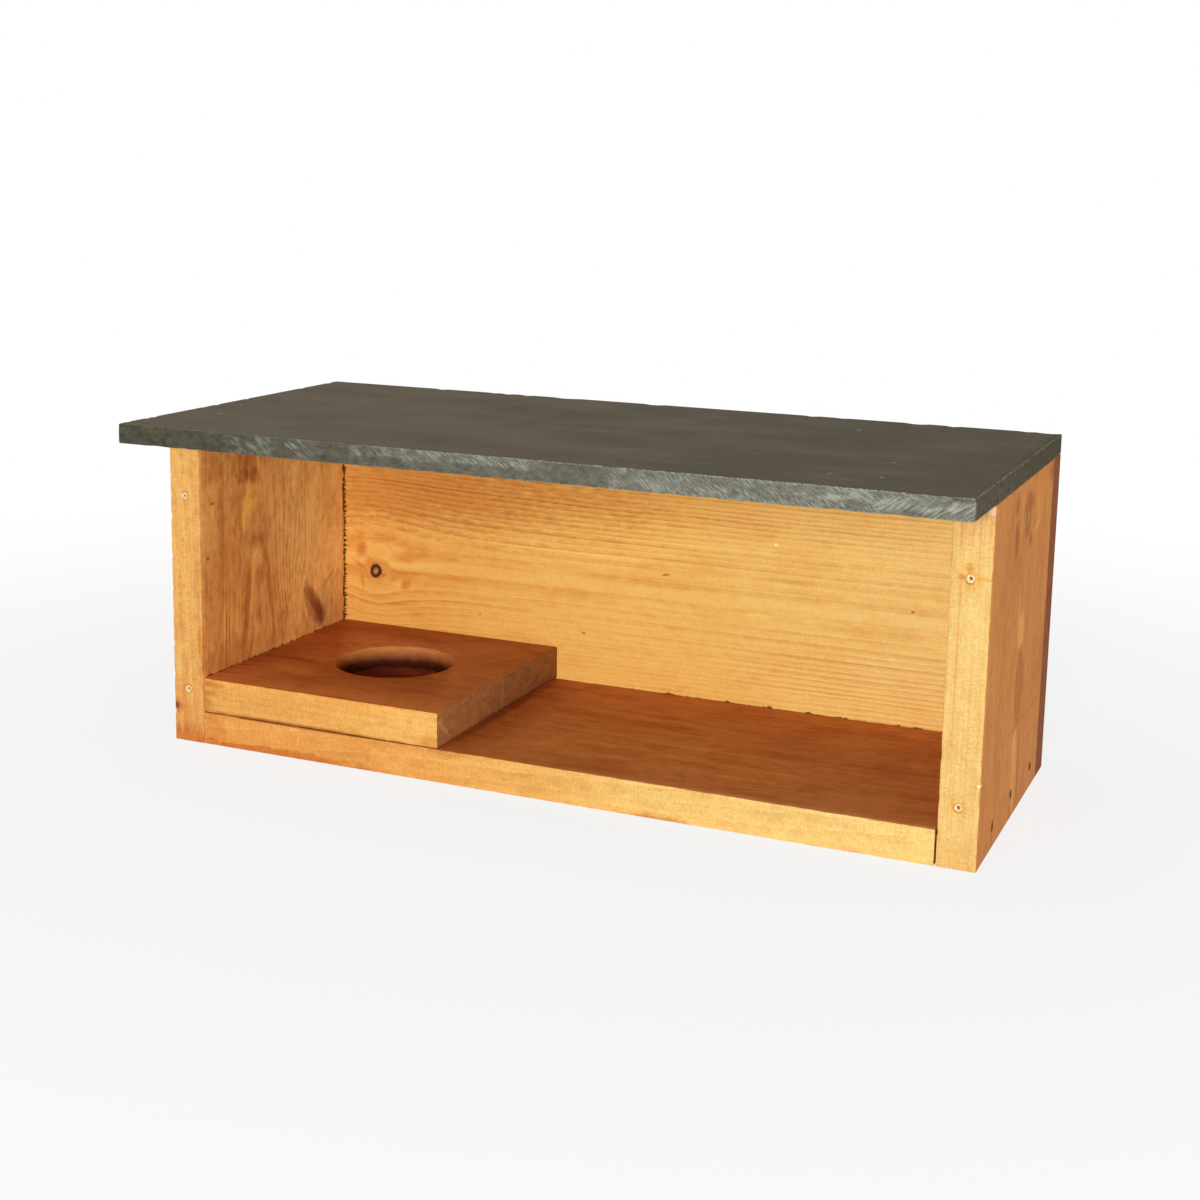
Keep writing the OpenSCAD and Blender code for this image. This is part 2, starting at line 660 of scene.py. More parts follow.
# The shade through a year, outwards: soft wood drinks stain, hard wood stays bright
YEAR = tuple(
    (place, (shade, shade, shade, 1.0))
    for place, shade in (
        (0.0, 0.95), (0.16, 0.9), (0.48, 0.6), (0.72, 0.46), (0.84, 0.08), (0.94, 0.02), (1.0, 0.8)
    )
)


@dataclass(frozen=True)
class Coat:
    """How the stain took on one kind of face.

    Attributes:
        bright: The hard lines.
        ground: The wood between.
        dark: The soft bands.
    """

    bright: Colour
    ground: Colour
    dark: Colour

    def over(self, shader: Shader, tone: Field) -> Field:
        """Colours the rings' shade."""
        return shader.ramp(((0.0, self.bright), (0.5, self.ground), (1.0, self.dark)), tone)


@dataclass(frozen=True)
class HoleShade:
    """The painted shade and light down a hole's wall, read by depth from its mouth.

    Attributes:
        depth: How far in the last change ends, in millimetres.
        stops: Its colours from the hole's mouth to that depth.
    """

    depth: float = 6.0
    # Painted shade: the wall darkens deeper into the hole
    stops: Stops = ((0.0, seen(112, 62, 34)), (1.0, seen(62, 32, 18)))


@dataclass(frozen=True)
class PineFinish:
    """Stained pine, with rings, fibres, blotches, knots and marks all through the board.

    Attributes:
        name: The material's name.
        grain: How the board lies.
        box: The board's two corners, in its own order.
        rings: How the year rings lie in it.
        face: The stain on its wide faces.
        edge: The stain on its long narrow edges.
        end: The stain on its sawn ends.
        blotch: What the cloudy blotches multiply the wood's colour by.
        bore: The painted shade in its holes.
        contrast: How much the rings show.
        fibres: How much the fibres show.
        mottle: How much the small uneven patches of stain show.
        blotches: How much the blotches show.
        end_tone: How dark the sawn ends are beside the faces.
        edge_show: How much of the figure shows on the long edges.
        bold: Where the rings show more.
        knots: Its knots.
        marks: Its streaks, stains, painted shadows and seams, in the order that they lie.
        end_marks: Its marks on the sawn ends, over their stain.
    """

    name: str
    grain: Grain
    box: Box
    rings: Rings
    face: Coat
    edge: Coat
    blotch: Colour
    end: Colour | None = None
    bore: HoleShade = HoleShade()
    contrast: float = 0.6
    fibres: float = 1.2
    mottle: float = 0.6
    blotches: float = 0.5
    end_tone: float = 0.6
    edge_show: float = 1.1
    bold: tuple[Mark, ...] = ()
    knots: tuple[Knot, ...] = ()
    marks: tuple[Mark | StainAndShadeSeam, ...] = ()
    end_marks: tuple[Mark, ...] = ()

    def make(self) -> Material:
        """Builds the material.

        Returns:
            The material.
        """
        shader = Shader(self.name, self.grain)
        fibre = shader.noise((80.0, 0.8, 0.8))
        shader.clouds = shader.noise((8.0, 2.6, 2.6), detail=4.0, rough=0.62)
        end, edge, hole = self._kinds_of_face(shader)
        tone = self._ring_tone(shader) + self._figure(shader, fibre)
        wood = self._stained(shader, edge, tone)
        for layer in (*self.marks, *self.knots):
            wood = layer.over(shader, wood)
        wood = self._end_grain(shader, end, wood)
        for mark in self.end_marks:
            wood = mark.over(shader, wood)
        wood = self._bored(shader, hole, self._worn(shader, wood))
        height = (fibre * 0.06 - tone * 0.07) * (1 - end) + shader.clouds * 0.1
        rough = 0.64 + (fibre - 0.5) * 0.3 + end * 0.15
        return shader.finish(wood, rough, height, strength=0.5, gloss=0.08)

    def _kinds_of_face(self, shader: Shader) -> tuple[Field, Field, Field]:
        """Tells the sawn ends, the long edges and the walls of holes from the wide faces.

        Args:
            shader: The material's nodes.

        Returns:
            The share of end, of edge and of hole on each point.
        """
        low, high = self.box
        facing = shader.facing().split()
        outer = []
        for axis in (ALONG, ACROSS):
            place = shader.place.split()[axis]
            inset = (place - low[axis]).least(high[axis] - place)
            near = shader.fall(inset, 0.9, 1.3)
            outer.append(shader.rise(abs(facing[axis]), 0.55, 0.85) * near)
        end, edge = outer
        hole = shader.fall(abs(facing[THROUGH]), 0.5, 0.8) * (1 - end) * (1 - edge)
        return end, edge, hole * shader.rise(shader.arris_distance(self.box), 2.0, 4.0)

    def _ring_tone(self, shader: Shader) -> Field:
        """Gives the shade that the year rings bring.

        Args:
            shader: The material's nodes.

        Returns:
            0 where the wood is bright, 0.5 where it is plain and 1 where it is dark.
        """
        rings = self.rings
        along, across, through = shader.place.split()
        for knot in self.knots:
            across = knot.bend(shader, across)
        wide = shader.noise((120.0, 26.0, 26.0), detail=1.0) - 0.5
        fine = shader.noise((20.0, 5.0, 5.0), detail=3.0) - 0.5
        across = across + (wide * (rings.sway * 2) + fine * (rings.sway * 0.6))
        sideways = across - (along * rings.lean[0] + rings.pith[0])
        inwards = through - (along * rings.lean[1] + rings.pith[1])
        radius = (sideways * sideways + inwards * inwards).root()
        drift = shader.noise((9.0, 1.0, 1.0), detail=1.0, at=shader.vector(radius)) - 0.5
        year = radius / rings.spacing + drift * (rings.crowding * 2)
        fade = shader.noise((70.0, 9.0, 9.0), detail=3.0, rough=0.6)
        show = self.contrast * (0.3 + shader.rise(fade, 0.34, 0.62) * 0.7)
        for zone in self.bold:
            show = show + zone.share(shader)
        show = show * (0.4 + shader.random(year.whole()) * 0.6)
        return 0.5 + (shader.ramp(YEAR, year.part()) - 0.5) * show

    def _figure(self, shader: Shader, fibre: Field) -> Field:
        """Gives what fibres and uneven stain add to the shade."""
        patchy = shader.noise((9.0, 4.5, 4.5), detail=5.0, rough=0.72) - 0.5
        return (fibre - 0.5) * self.fibres + patchy * self.mottle

    def _stained(self, shader: Shader, edge: Field, tone: Field) -> Field:
        """Colours the wood: its shade, its blotches and its grit.

        Args:
            shader: The material's nodes.
            edge: The share of long edge.
            tone: The shade.

        Returns:
            The wood's colour.
        """
        softer = 0.5 + (tone - 0.5) * self.edge_show
        wood = shader.mix(edge, self.face.over(shader, tone), self.edge.over(shader, softer))
        cloud = shader.noise((50.0, 20.0, 20.0), detail=5.0, rough=0.62)
        share = shader.rise(cloud, 0.46, 0.66) * (self.blotches * (1 - edge * 0.6))
        wood = shader.mix(share, wood, shader.mix(1.0, wood, self.blotch, "MULTIPLY"))
        ticks = shader.noise((0.7, 3.5, 3.5), detail=1.0) - 0.5
        grit = shader.noise((0.9, 0.7, 0.7)) - 0.5
        return shader.toned(wood, 1 + (ticks * 0.12 + grit * 0.3) * (1 + edge * 1.2))

    def _end_grain(self, shader: Shader, end: Field, wood: Field) -> Field:
        """Darkens the sawn ends, which drink more stain.

        Args:
            shader: The material's nodes.
            end: The share of sawn end.
            wood: The wood's colour.

        Returns:
            The colour with its ends.
        """
        speckle = shader.noise(0.9)
        patch = shader.noise((9.0, 9.0, 5.0), detail=4.0, rough=0.65)
        tone = self.end_tone * (speckle * 0.8 + patch * 1.2)
        return shader.mix(end, wood, shader.toned(self.end or wood, tone))

    def _worn(self, shader: Shader, wood: Field) -> Field:
        """Rubs the arrises a little paler in some places and darker in others."""
        close = shader.fall(shader.arris_distance(self.box), 0.2, 1.0)
        return shader.toned(wood, 1 + close * ((shader.clouds - 0.5) * 1.4))

    def _bored(self, shader: Shader, hole: Field, wood: Field) -> Field:
        """Paints shade on the walls of holes by how far in they lie from the board's last face.

        Args:
            shader: The material's nodes.
            hole: The share of hole.
            wood: The wood's colour.

        Returns:
            The colour with its holes.
        """
        _, _, through = shader.place.split()
        scores = shader.noise((12.0, 12.0, 0.9), detail=3.0, rough=0.6) - 0.5
        ragged = shader.noise((7.0, 7.0, 5.0), detail=4.0, rough=0.6) - 0.5
        depth = self.box[1][THROUGH] - through + ragged * 4 + scores * 3
        # The painted shade of the hole's walls, by depth
        stain = shader.ramp(self.bore.stops, depth / self.bore.depth)
        return shader.mix(hole, wood, shader.toned(stain, 1 + scores * 1.2))


@dataclass(frozen=True)
class RawPineFinish:
    """Pale torn fibres, where a screw came out after the boards were stained."""

    name: str = "raw_pine"
    pale: Colour = seen(255, 232, 178)
    dull: Colour = seen(226, 176, 112)

    def make(self) -> Material:
        """Builds the material.

        Returns:
            The material.
        """
        shader = Shader(self.name)
        tufts = shader.noise((0.5, 0.5, 1.2), detail=3.0)
        colour = shader.mix(shader.rise(tufts, 0.42, 0.66), self.pale, self.dull)
        return shader.finish(colour, 0.85, tufts * 0.3, strength=0.8, gloss=0.1)


@dataclass(frozen=True)
class NailFinish:
    """Dull steel under a film of stain."""

    name: str = "stained_steel"
    steel: Colour = seen(118, 110, 100)
    stain: Colour = seen(74, 46, 26)

    def make(self) -> Material:
        """Builds the material.

        Returns:
            The material.
        """
        shader = Shader(self.name)
        film = shader.noise(1.1, detail=3.0)
        scratch = shader.noise((0.25, 0.25, 6.0))
        share = shader.rise(film, 0.38, 0.6)
        shader.feed(shader.surface.inputs["Metallic"], 0.9 - share * 0.8)
        colour = shader.mix(share, self.steel, self.stain)
        rough = 0.35 + share * 0.3 + (scratch - 0.5) * 0.3
        return shader.finish(colour, rough, scratch * 0.03, strength=0.5, gloss=0.5)


@dataclass(frozen=True)
class Strokes:
    """Pale strokes that a saw left on one stretch of the slate's edges, in millimetres.

    Attributes:
        turn: How steeply they climb, in degrees.
        size: Their length and width.
        stretch: Where they start and end along the edge.
        height: From where to where they reach up the edge.
        show: How strongly they show.
    """

    turn: float
    size: Pair
    stretch: Pair
    height: Pair = (150.0, 220.0)
    show: float = 0.8

    def over(self, shader: Shader, edge_place: Field) -> Field:
        """Gives the strokes.

        Args:
            shader: The material's nodes.
            edge_place: The place along the edge and up.

        Returns:
            The strokes, from 0 to 1.
        """
        run, up, _ = edge_place.split()
        start, end = self.stretch
        low, high = self.height
        turned = shader.local(edge_place, (start, 0.0, 0.0), (*self.size, 1.0), self.turn)
        lines = shader.noise(1.0, detail=3.0, rough=0.55, at=turned)
        run = run + (shader.clouds - 0.5) * 24
        window = shader.rise(run, start - 4, start + 4)
        window = window * shader.fall(run, end - 8, end + 8)
        lift = up + (shader.clouds - 0.5) * 6
        window = window * shader.rise(lift, low - 1.2, low + 1.2)
        window = window * shader.fall(lift, high - 1.2, high + 1.2)
        patches = 0.45 + shader.rise(shader.clouds, 0.38, 0.58) * 0.7
        return (0.1 + shader.rise(lines, 0.40, 0.68) * 0.9) * patches * window * self.show


@dataclass(frozen=True)
class SlateFinish:
    """Slate with a smooth, faintly clouded face and sawn edges.

    Attributes:
        name: The material's name.
        box: The slab's two corners.
        face: The smooth faces.
        face_dark: Their darker clouds.
        sawn: The sawn front edge.
        sawn_dark: Its left end, darker as painted shade.
        scratch: The saw strokes, flecks and crumbs.
        end: The sawn short edges.
        strokes: The stretches of saw strokes.
        marks: The specks and stains on it.
    """

    name: str
    box: Box
    face: Colour
    face_dark: Colour
    sawn: Colour
    sawn_dark: Colour
    scratch: Colour
    end: Colour
    strokes: tuple[Strokes, ...]
    marks: tuple[Mark, ...] = ()

    def make(self) -> Material:
        """Builds the material.

        Returns:
            The material.
        """
        shader = Shader(self.name)
        shader.clouds = shader.noise((13.0, 10.0, 5.0), detail=4.0, rough=0.6)
        grit = shader.noise(0.8)
        _, _, up = shader.facing().split()
        edge = shader.fall(abs(up), 0.6, 0.85)
        lines = self._all_strokes(shader)
        colour = shader.mix(edge, self._face(shader), self._sawn(shader, lines))
        colour = self._bruised(shader, grit, colour)
        for mark in self.marks:
            colour = mark.over(shader, colour)
        colour = shader.toned(colour, 0.88 + grit * 0.24)
        height = lines * edge * 0.14 + shader.clouds * 0.2 + grit * 0.05
        rough = 0.68 + (shader.clouds - 0.5) * 0.25 + edge * 0.1
        return shader.finish(colour, rough, height, strength=0.5, gloss=0.05)

    def _face(self, shader: Shader) -> Field:
        """Colours the smooth faces: clouds, long faint streaks and pale flecks.

        Args:
            shader: The material's nodes.

        Returns:
            Their colour.
        """
        along, _, _ = shader.place.split()
        cloud = shader.noise((60.0, 40.0, 10.0), detail=3.0)
        streak = shader.noise((30.0, 1.6, 1.6))
        mixed = cloud + (streak - 0.5) * 0.3 + (shader.clouds - 0.5) * 0.3 - along * 0.0006
        face = shader.mix(shader.rise(mixed, 0.25, 0.75), self.face_dark, self.face)
        flecks = shader.rise(shader.noise(1.0, detail=0.0), 0.76, 0.84)
        return shader.mix(flecks * 0.3, face, self.scratch)

    def _all_strokes(self, shader: Shader) -> Field:
        """Gives all the saw strokes together.

        Args:
            shader: The material's nodes.

        Returns:
            The strokes, from 0 to 1.
        """
        along, back, up = shader.place.split()
        edge_place = shader.vector(along + (back - self.box[0][1]), up)
        lines = [strokes.over(shader, edge_place) for strokes in self.strokes]
        return functools.reduce(Field.most, lines)

    def _sawn(self, shader: Shader, lines: Field) -> Field:
        """Colours the sawn edges: mottled below, pale saw strokes on top, and painted shade towards the
        left end.

        Args:
            shader: The material's nodes.
            lines: The strokes.

        Returns:
            Their colour.
        """
        along, back, _ = shader.place.split()
        left, front, _ = self.box[0]
        # Painted shade: the front edge darkens towards its left end
        tone = shader.rise(along + (shader.clouds - 0.5) * 160, left + 30, left + 230)
        base = shader.mix(tone, self.sawn_dark, self.sawn)
        base = shader.mix(shader.rise(back, front + 1, front + 4), base, self.end)
        mottle = shader.noise((5.0, 5.0, 3.0), detail=5.0, rough=0.7)
        return shader.mix(lines, shader.toned(base, mottle * 2.0), self.scratch)

    def _bruised(self, shader: Shader, grit: Field, under: Field) -> Field:
        """Dots the arrises pale towards the right, where the saw broke crumbs from them.

        Args:
            shader: The material's nodes.
            grit: Fine noise.
            under: The slate's colour.

        Returns:
            The colour with the crumbs.
        """
        along, _, _ = shader.place.split()
        close = shader.fall(shader.arris_distance(self.box), 0.25, 0.9)
        crumbs = shader.noise(1.3, detail=1.0)
        share = close * shader.rise(crumbs + grit * 0.2, 0.52, 0.7)
        share = share * (0.2 + shader.rise(along, -150.0, 60.0) * 0.6)
        return shader.mix(share, under, self.scratch)


class Pick(Enum):
    """What an edit works on."""

    VERTS = "VERT"
    EDGES = "EDGE"
    FACES = "FACE"


@dataclass(frozen=True)
class Arris:
    """A straight arris of a block, which runs along one axis.

    Attributes:
        run: The axis that it runs along.
        at: A point on it, in metres.
        into: The way into the block on each axis, 0 on the axis that it runs along.
    """

    run: int
    at: Vector
    into: Vector

    def near(self, point: Vector, reach: float) -> bool:
        """Tells whether a point lies within reach of the arris on both of its faces."""
        sides = [axis for axis in range(3) if axis != self.run]
        return all(abs(point[axis] - self.at[axis]) < reach for axis in sides)

    def beside(self, edge: bmesh.types.BMEdge, length: float, reach: float) -> bool:
        """Tells whether an edge runs along the arris, close beside it.

        Args:
            edge: The edge.
            length: What it must be longer than.
            reach: How close both of its ends must be.

        Returns:
            Whether it does.
        """
        first, second = (vert.co for vert in edge.verts)
        long = abs(first[self.run] - second[self.run]) > length
        return long and self.near(first, reach) and self.near(second, reach)


class Bench:
    """The workbench: modelling steps done with Blender's own operators."""

    @staticmethod
    def only(*pieces: Piece) -> None:
        """Selects just some objects and makes the first one active.

        Args:
            pieces: The objects.
        """
        bpy.ops.object.select_all(action="DESELECT")
        for piece in pieces:
            piece.select_set(True)
        bpy.context.view_layer.objects.active = pieces[0]

    @staticmethod
    def keep_place() -> Piece:
        """Moves the active object's place into its mesh, and gives the object back."""
        bpy.ops.object.transform_apply(location=True, rotation=True, scale=True)
        return bpy.context.object

    @staticmethod
    @contextmanager
    def editing(piece: Piece) -> Iterator[None]:
        """Opens a mesh for editing, with nothing selected, and closes it again.

        Args:
            piece: The object whose mesh it is.

        Yields:
            Nothing, while the mesh is open.
        """
        Bench.only(piece)
        bpy.ops.object.mode_set(mode="EDIT")
        bpy.ops.mesh.select_all(action="DESELECT")
        try:
            yield
        finally:
            bpy.ops.object.mode_set(mode="OBJECT")

    @staticmethod
    def pick(piece: Piece, what: Pick, test: Callable[..., bool]) -> int:
        """Selects the parts of an open mesh that pass a test.

        Args:
            piece: The object that is being edited.
            what: The kind of part.
            test: Says of one part whether it is wanted.

        Returns:
            How many were selected.
        """
        bpy.ops.mesh.select_mode(type=what.value)
        bpy.ops.mesh.select_all(action="DESELECT")
        mesh = bmesh.from_edit_mesh(piece.data)
        parts = {Pick.VERTS: mesh.verts, Pick.EDGES: mesh.edges, Pick.FACES: mesh.faces}[what]
        wanted = [part for part in parts if test(part)]
        for part in wanted:
            part.select_set(True)
        mesh.select_flush_mode()
        bmesh.update_edit_mesh(piece.data)
        return len(wanted)

    @staticmethod
    def nudge(piece: Piece, test: Callable[..., bool], by: Vector) -> None:
        """Moves some of a piece's points.

        Args:
            piece: The piece.
            test: Says of one point whether it moves.
            by: How far they move, in metres.
        """
        with Bench.editing(piece):
            Bench.pick(piece, Pick.VERTS, test)
            bpy.ops.transform.translate(value=by)

    @staticmethod
    def block(name: str, low: Vector, high: Vector, ease: float) -> Piece:
        """Makes a block between two corners, with its arrises eased.

        Args:
            name: The piece's name.
            low: The lowest corner, in metres.
            high: The highest corner.
            ease: How wide the eased arrises are.

        Returns:
            The block.
        """
        bpy.ops.object.select_all(action="DESELECT")
        bpy.ops.mesh.primitive_cube_add(size=1, location=(low + high) / 2, scale=high - low)
        piece = Bench.keep_place()
        piece.name = piece.data.name = name
        with Bench.editing(piece):
            bpy.ops.mesh.select_all(action="SELECT")
            bpy.ops.mesh.bevel(offset=ease, segments=2, affect="EDGES")
        return piece

    @staticmethod
    def wear(
        piece: Piece, arris: Arris, ease: float, step: float, notches: list[Triple],
        jitter: float, seed: int,
    ) -> None:
        """Breaks up a straight arris, as sawing and handling do.

        Args:
            piece: The block.
            arris: Which of its arrises.
            ease: How wide the eased arris is.
            step: How far apart the points along it are.
            notches: The chips, as place along it, half length and depth.
            jitter: How far every point strays.
            seed: Fixes the random part.
        """
        margin = 4 * ease + 2 * MM
        sides = [axis for axis in range(3) if axis != arris.run]
        with Bench.editing(piece):
            for axis in sides:
                normal = Vector([float(axis == number) for number in range(3)])
                bpy.ops.mesh.select_all(action="SELECT")
                bpy.ops.mesh.bisect(plane_co=arris.at + arris.into * margin, plane_no=normal)
            length = abs(max(v.co[arris.run] for v in piece.data.vertices)
                         - min(v.co[arris.run] for v in piece.data.vertices))
            cuts = min(100, round(length / step) - 1)
            if Bench.pick(
                piece, Pick.EDGES, lambda edge: arris.beside(edge, length / 2, margin * 1.05)
            ):
                bpy.ops.mesh.subdivide(number_cuts=cuts)
            for place, half, depth in notches:
                Bench.pick(piece, Pick.VERTS, lambda vert: (
                    arris.near(vert.co, ease * 1.2) and abs(vert.co[arris.run] - place) < half
                ))
                bpy.ops.transform.translate(value=arris.into * depth)
            Bench.pick(piece, Pick.VERTS, lambda vert: arris.near(vert.co, ease * 0.8))
            bpy.ops.transform.vertex_random(offset=jitter, seed=seed)

    @staticmethod
    def turned(
        name: str, rings: list[Pair], at: Vector, axis: Vector, sides: int, hollow: bool = False,
        ragged: int = 0, stray: float = 0.0, seed: int = 0,
    ) -> Piece:
        """Turns a round solid, or a hollow ring, by extruding a circle from ring to ring.

        Args:
            name: The piece's name.
            rings: Radius and distance along the axis for each, in metres.
            at: Where distance 0 is.
            axis: The way that distance grows.
            sides: How many sides it has.
            hollow: Whether the last ring joins the first, round an open middle.
            ragged: How many of the first rings are torn.
            stray: How far their points stray.
            seed: Fixes the tearing.

        Returns:
            The solid.
        """
        bpy.ops.object.select_all(action="DESELECT")
        radius, place = rings[0]
        bpy.ops.mesh.primitive_circle_add(
            vertices=sides, radius=radius, fill_type="NOTHING" if hollow else "NGON",
            location=(0, 0, place),
        )
        piece = Bench.keep_place()
        piece.name = name
        with Bench.editing(piece):
            bpy.ops.mesh.select_mode(type="EDGE" if hollow else "FACE")
            bpy.ops.mesh.select_all(action="SELECT")
            for wider, further in (*rings[1:], *(rings[:1] if hollow else ())):
                bpy.ops.mesh.extrude_region_move(
                    TRANSFORM_OT_translate={"value": (0, 0, further - place)}
                )
                grow = wider / radius
                bpy.ops.transform.resize(value=(grow, grow, 1), center_override=(0, 0, further))
                radius, place = wider, further
            if hollow:
                bpy.ops.mesh.select_all(action="SELECT")
                bpy.ops.mesh.remove_doubles(threshold=MM / 1000)
            torn = [ring[1] for ring in rings[:ragged]]
            if Bench.pick(piece, Pick.VERTS, lambda vert: any(
                abs(vert.co.z - height) < MM / 100 for height in torn
            )):
                bpy.ops.transform.vertex_random(offset=stray, seed=seed)
            bpy.ops.mesh.select_all(action="SELECT")
            bpy.ops.mesh.normals_make_consistent(inside=False)
        piece.rotation_mode = "QUATERNION"
        piece.rotation_quaternion = axis.to_track_quat("Z", "Y")
        piece.location = at
        return Bench.keep_place()

    @staticmethod
    def cut(piece: Piece, cutters: list[Piece]) -> None:
        """Cuts solids out of a piece; the cut faces take the cutters' materials.

        Args:
            piece: The piece.
            cutters: The solids, which are used up.
        """
        tool = Bench.join(cutters)
        Bench.only(piece)
        drill = piece.modifiers.new("drill", "BOOLEAN")
        drill.operation = "DIFFERENCE"
        drill.solver = "EXACT"
        drill.material_mode = "TRANSFER"
        drill.object = tool
        bpy.ops.object.modifier_apply(modifier=drill.name)
        bpy.data.objects.remove(tool)

    @staticmethod
    def join(pieces: list[Piece]) -> Piece:
        """Puts several objects into one, which takes the first one's name.

        Args:
            pieces: The objects.

        Returns:
            The joined object.
        """
        Bench.only(*pieces)
        if len(pieces) > 1:
            bpy.ops.object.join()
        return pieces[0]

    @staticmethod
    def smooth(piece: Piece) -> None:
        """Shades a piece smoothly, except across arrises sharper than 35 degrees."""
        Bench.only(piece)
        bpy.ops.object.shade_smooth_by_angle(angle=math.radians(35))


def box_of(node: str, grain: Grain = Grain.SHELF) -> Box:
    """Gives a solid's two corners in millimetres, in a board's order."""
    low, high = (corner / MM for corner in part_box(node))
    return grain.turn(low), grain.turn(high)


def nails_in(node: str, axis: Vector) -> list[Vector]:
    """Finds where the nails of a set go in.

    Args:
        node: The set's name in the frame.
        axis: The way that they were driven.

    Returns:
        The middle of each nail's head, in metres, at the head's own height.
    """
    across = [number for number in range(3) if abs(axis[number]) < 0.5]
    nail_width = 5 * MM
    groups: list[list[Vector]] = []
    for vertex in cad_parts[node].data.vertices:
        for group in groups:
            if all(abs(vertex.co[number] - group[0][number]) < nail_width for number in across):
                group.append(vertex.co.copy())
                break
        else:
            groups.append([vertex.co.copy()])
    heads = []
    for group in groups:
        first = min(point.dot(axis) for point in group)
        middle = [(min(p[n] for p in group) + max(p[n] for p in group)) / 2 for n in range(3)]
        centre = Vector(middle)
        heads.append(centre + axis * (first - centre.dot(axis)))
    return heads


@dataclass
class NailSet:
    """Nails of one row, each with its head punched below the surface.

    Attributes:
        node: The nails' name in the frame.
        axis: The way that they were driven.
        punched: How deep the heads lie.
        head_radius: The radius of a hole round a head.
        head_height: The height of a head's straight rim.
        shank_radius: The radius of a hole round a shank.
        length: The length of a nail.
        point: The length of its point.
    """

    node: str
    axis: Vector
    punched: float = 1.2 * MM
    head_radius: float = 1.75 * MM
    head_height: float = 0.8 * MM
    shank_radius: float = 1.15 * MM
    length: float = 40 * MM
    point: float = 4 * MM

    def holes(self, wood: Material) -> list[Piece]:
        """Makes the solids that cut these nails' holes, with torn mouths.

        Args:
            wood: The material that the holes' walls take.

        Returns:
            One solid for each nail.
        """
        torn = self.head_radius * 1.18
        rings = [
            (torn, -self.punched - 1 * MM),
            (torn, -self.punched),
            (self.head_radius, -self.punched * 0.55),
            (self.head_radius, self.head_height),
            (self.shank_radius, self.head_height + self.head_radius - self.shank_radius),
            (self.shank_radius, self.length - self.point),
            (0.05 * MM, self.length + 0.2 * MM),
        ]
        made = []
        for number, head in enumerate(nails_in(self.node, self.axis)):
            hole = Bench.turned(
                f"{self.node}_hole_{number}", rings, head, self.axis, sides=24, ragged=2,
                stray=torn * 0.12, seed=number,
            )
            hole.data.materials.append(wood)
            made.append(hole)
        return made

    def dress(self, steel: Material) -> None:
        """Gives the nails their steel.

        Args:
            steel: The material.
        """
        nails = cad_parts[self.node]
        nails.data.materials.clear()
        nails.data.materials.append(steel)


@dataclass
class Board:
    """A board of the box, which stands for one solid of the frame.

    Attributes:
        node: The solid's name.
        slot: The material slot in the record; not used.
        finish: What it is made of.
        nails: The sets of nails that pass through it.
        body: What it rides on.
        ease: How wide its eased arrises are.
        seed: Fixes its wear.
        low: The solid's lowest corner, in metres.
        high: Its highest corner.
    """

    node: str
    slot: str
    finish: PineFinish | SlateFinish
    nails: list[NailSet] = field(default_factory=list)
    body: str = "box"
    ease: float = 0.6 * MM
    seed: int = 1
    low: Vector = field(init=False)
    high: Vector = field(init=False)

    def __post_init__(self) -> None:
        """Reads the solid's corners from the frame."""
        self.low, self.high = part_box(self.node)

    def name(self) -> str:
        """Names the piece."""
        return f"{self.node}_wood"

    def build(self) -> Piece:
        """Models the board, cuts its holes and hands it to the frame.

        Returns:
            The finished piece.
        """
        piece = Bench.block(self.name(), self.low, self.high, self.ease)
        material = self.finish.make()
        piece.data.materials.append(material)
        self.shape(piece)
        Bench.cut(piece, self.holes(material))
        Bench.smooth(piece)
        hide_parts(self.node)
        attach(piece, self.body)
        return piece

    def shape(self, piece: Piece) -> None:
        """Wears the board's arrises; a plain board has none that show."""

    def holes(self, wood: Material) -> list[Piece]:
        """Makes the solids that are cut out of the board."""
        return [hole for nails in self.nails for hole in nails.holes(wood)]

    def notches(self, run: int, gap: float, half: Pair, depth: Pair) -> list[Triple]:
        """Scatters chips along an arris.

        Args:
            run: The axis that the arris runs along.
            gap: The usual way from one chip to the next.
            half: The least and greatest half length.
            depth: The least and greatest depth.

        Returns:
            Each chip's place, half length and depth.
        """
        dice = random.Random(self.seed)
        made = []
        place = self.low[run] + gap
        while place < self.high[run] - gap:
            made.append((place, dice.uniform(*half), dice.uniform(*depth)))
            place += gap * dice.uniform(0.6, 1.4)
        return made


class Hand(Enum):
    """Which end of the box, as the way from its middle."""

    LEFT = -1.0
    RIGHT = 1.0


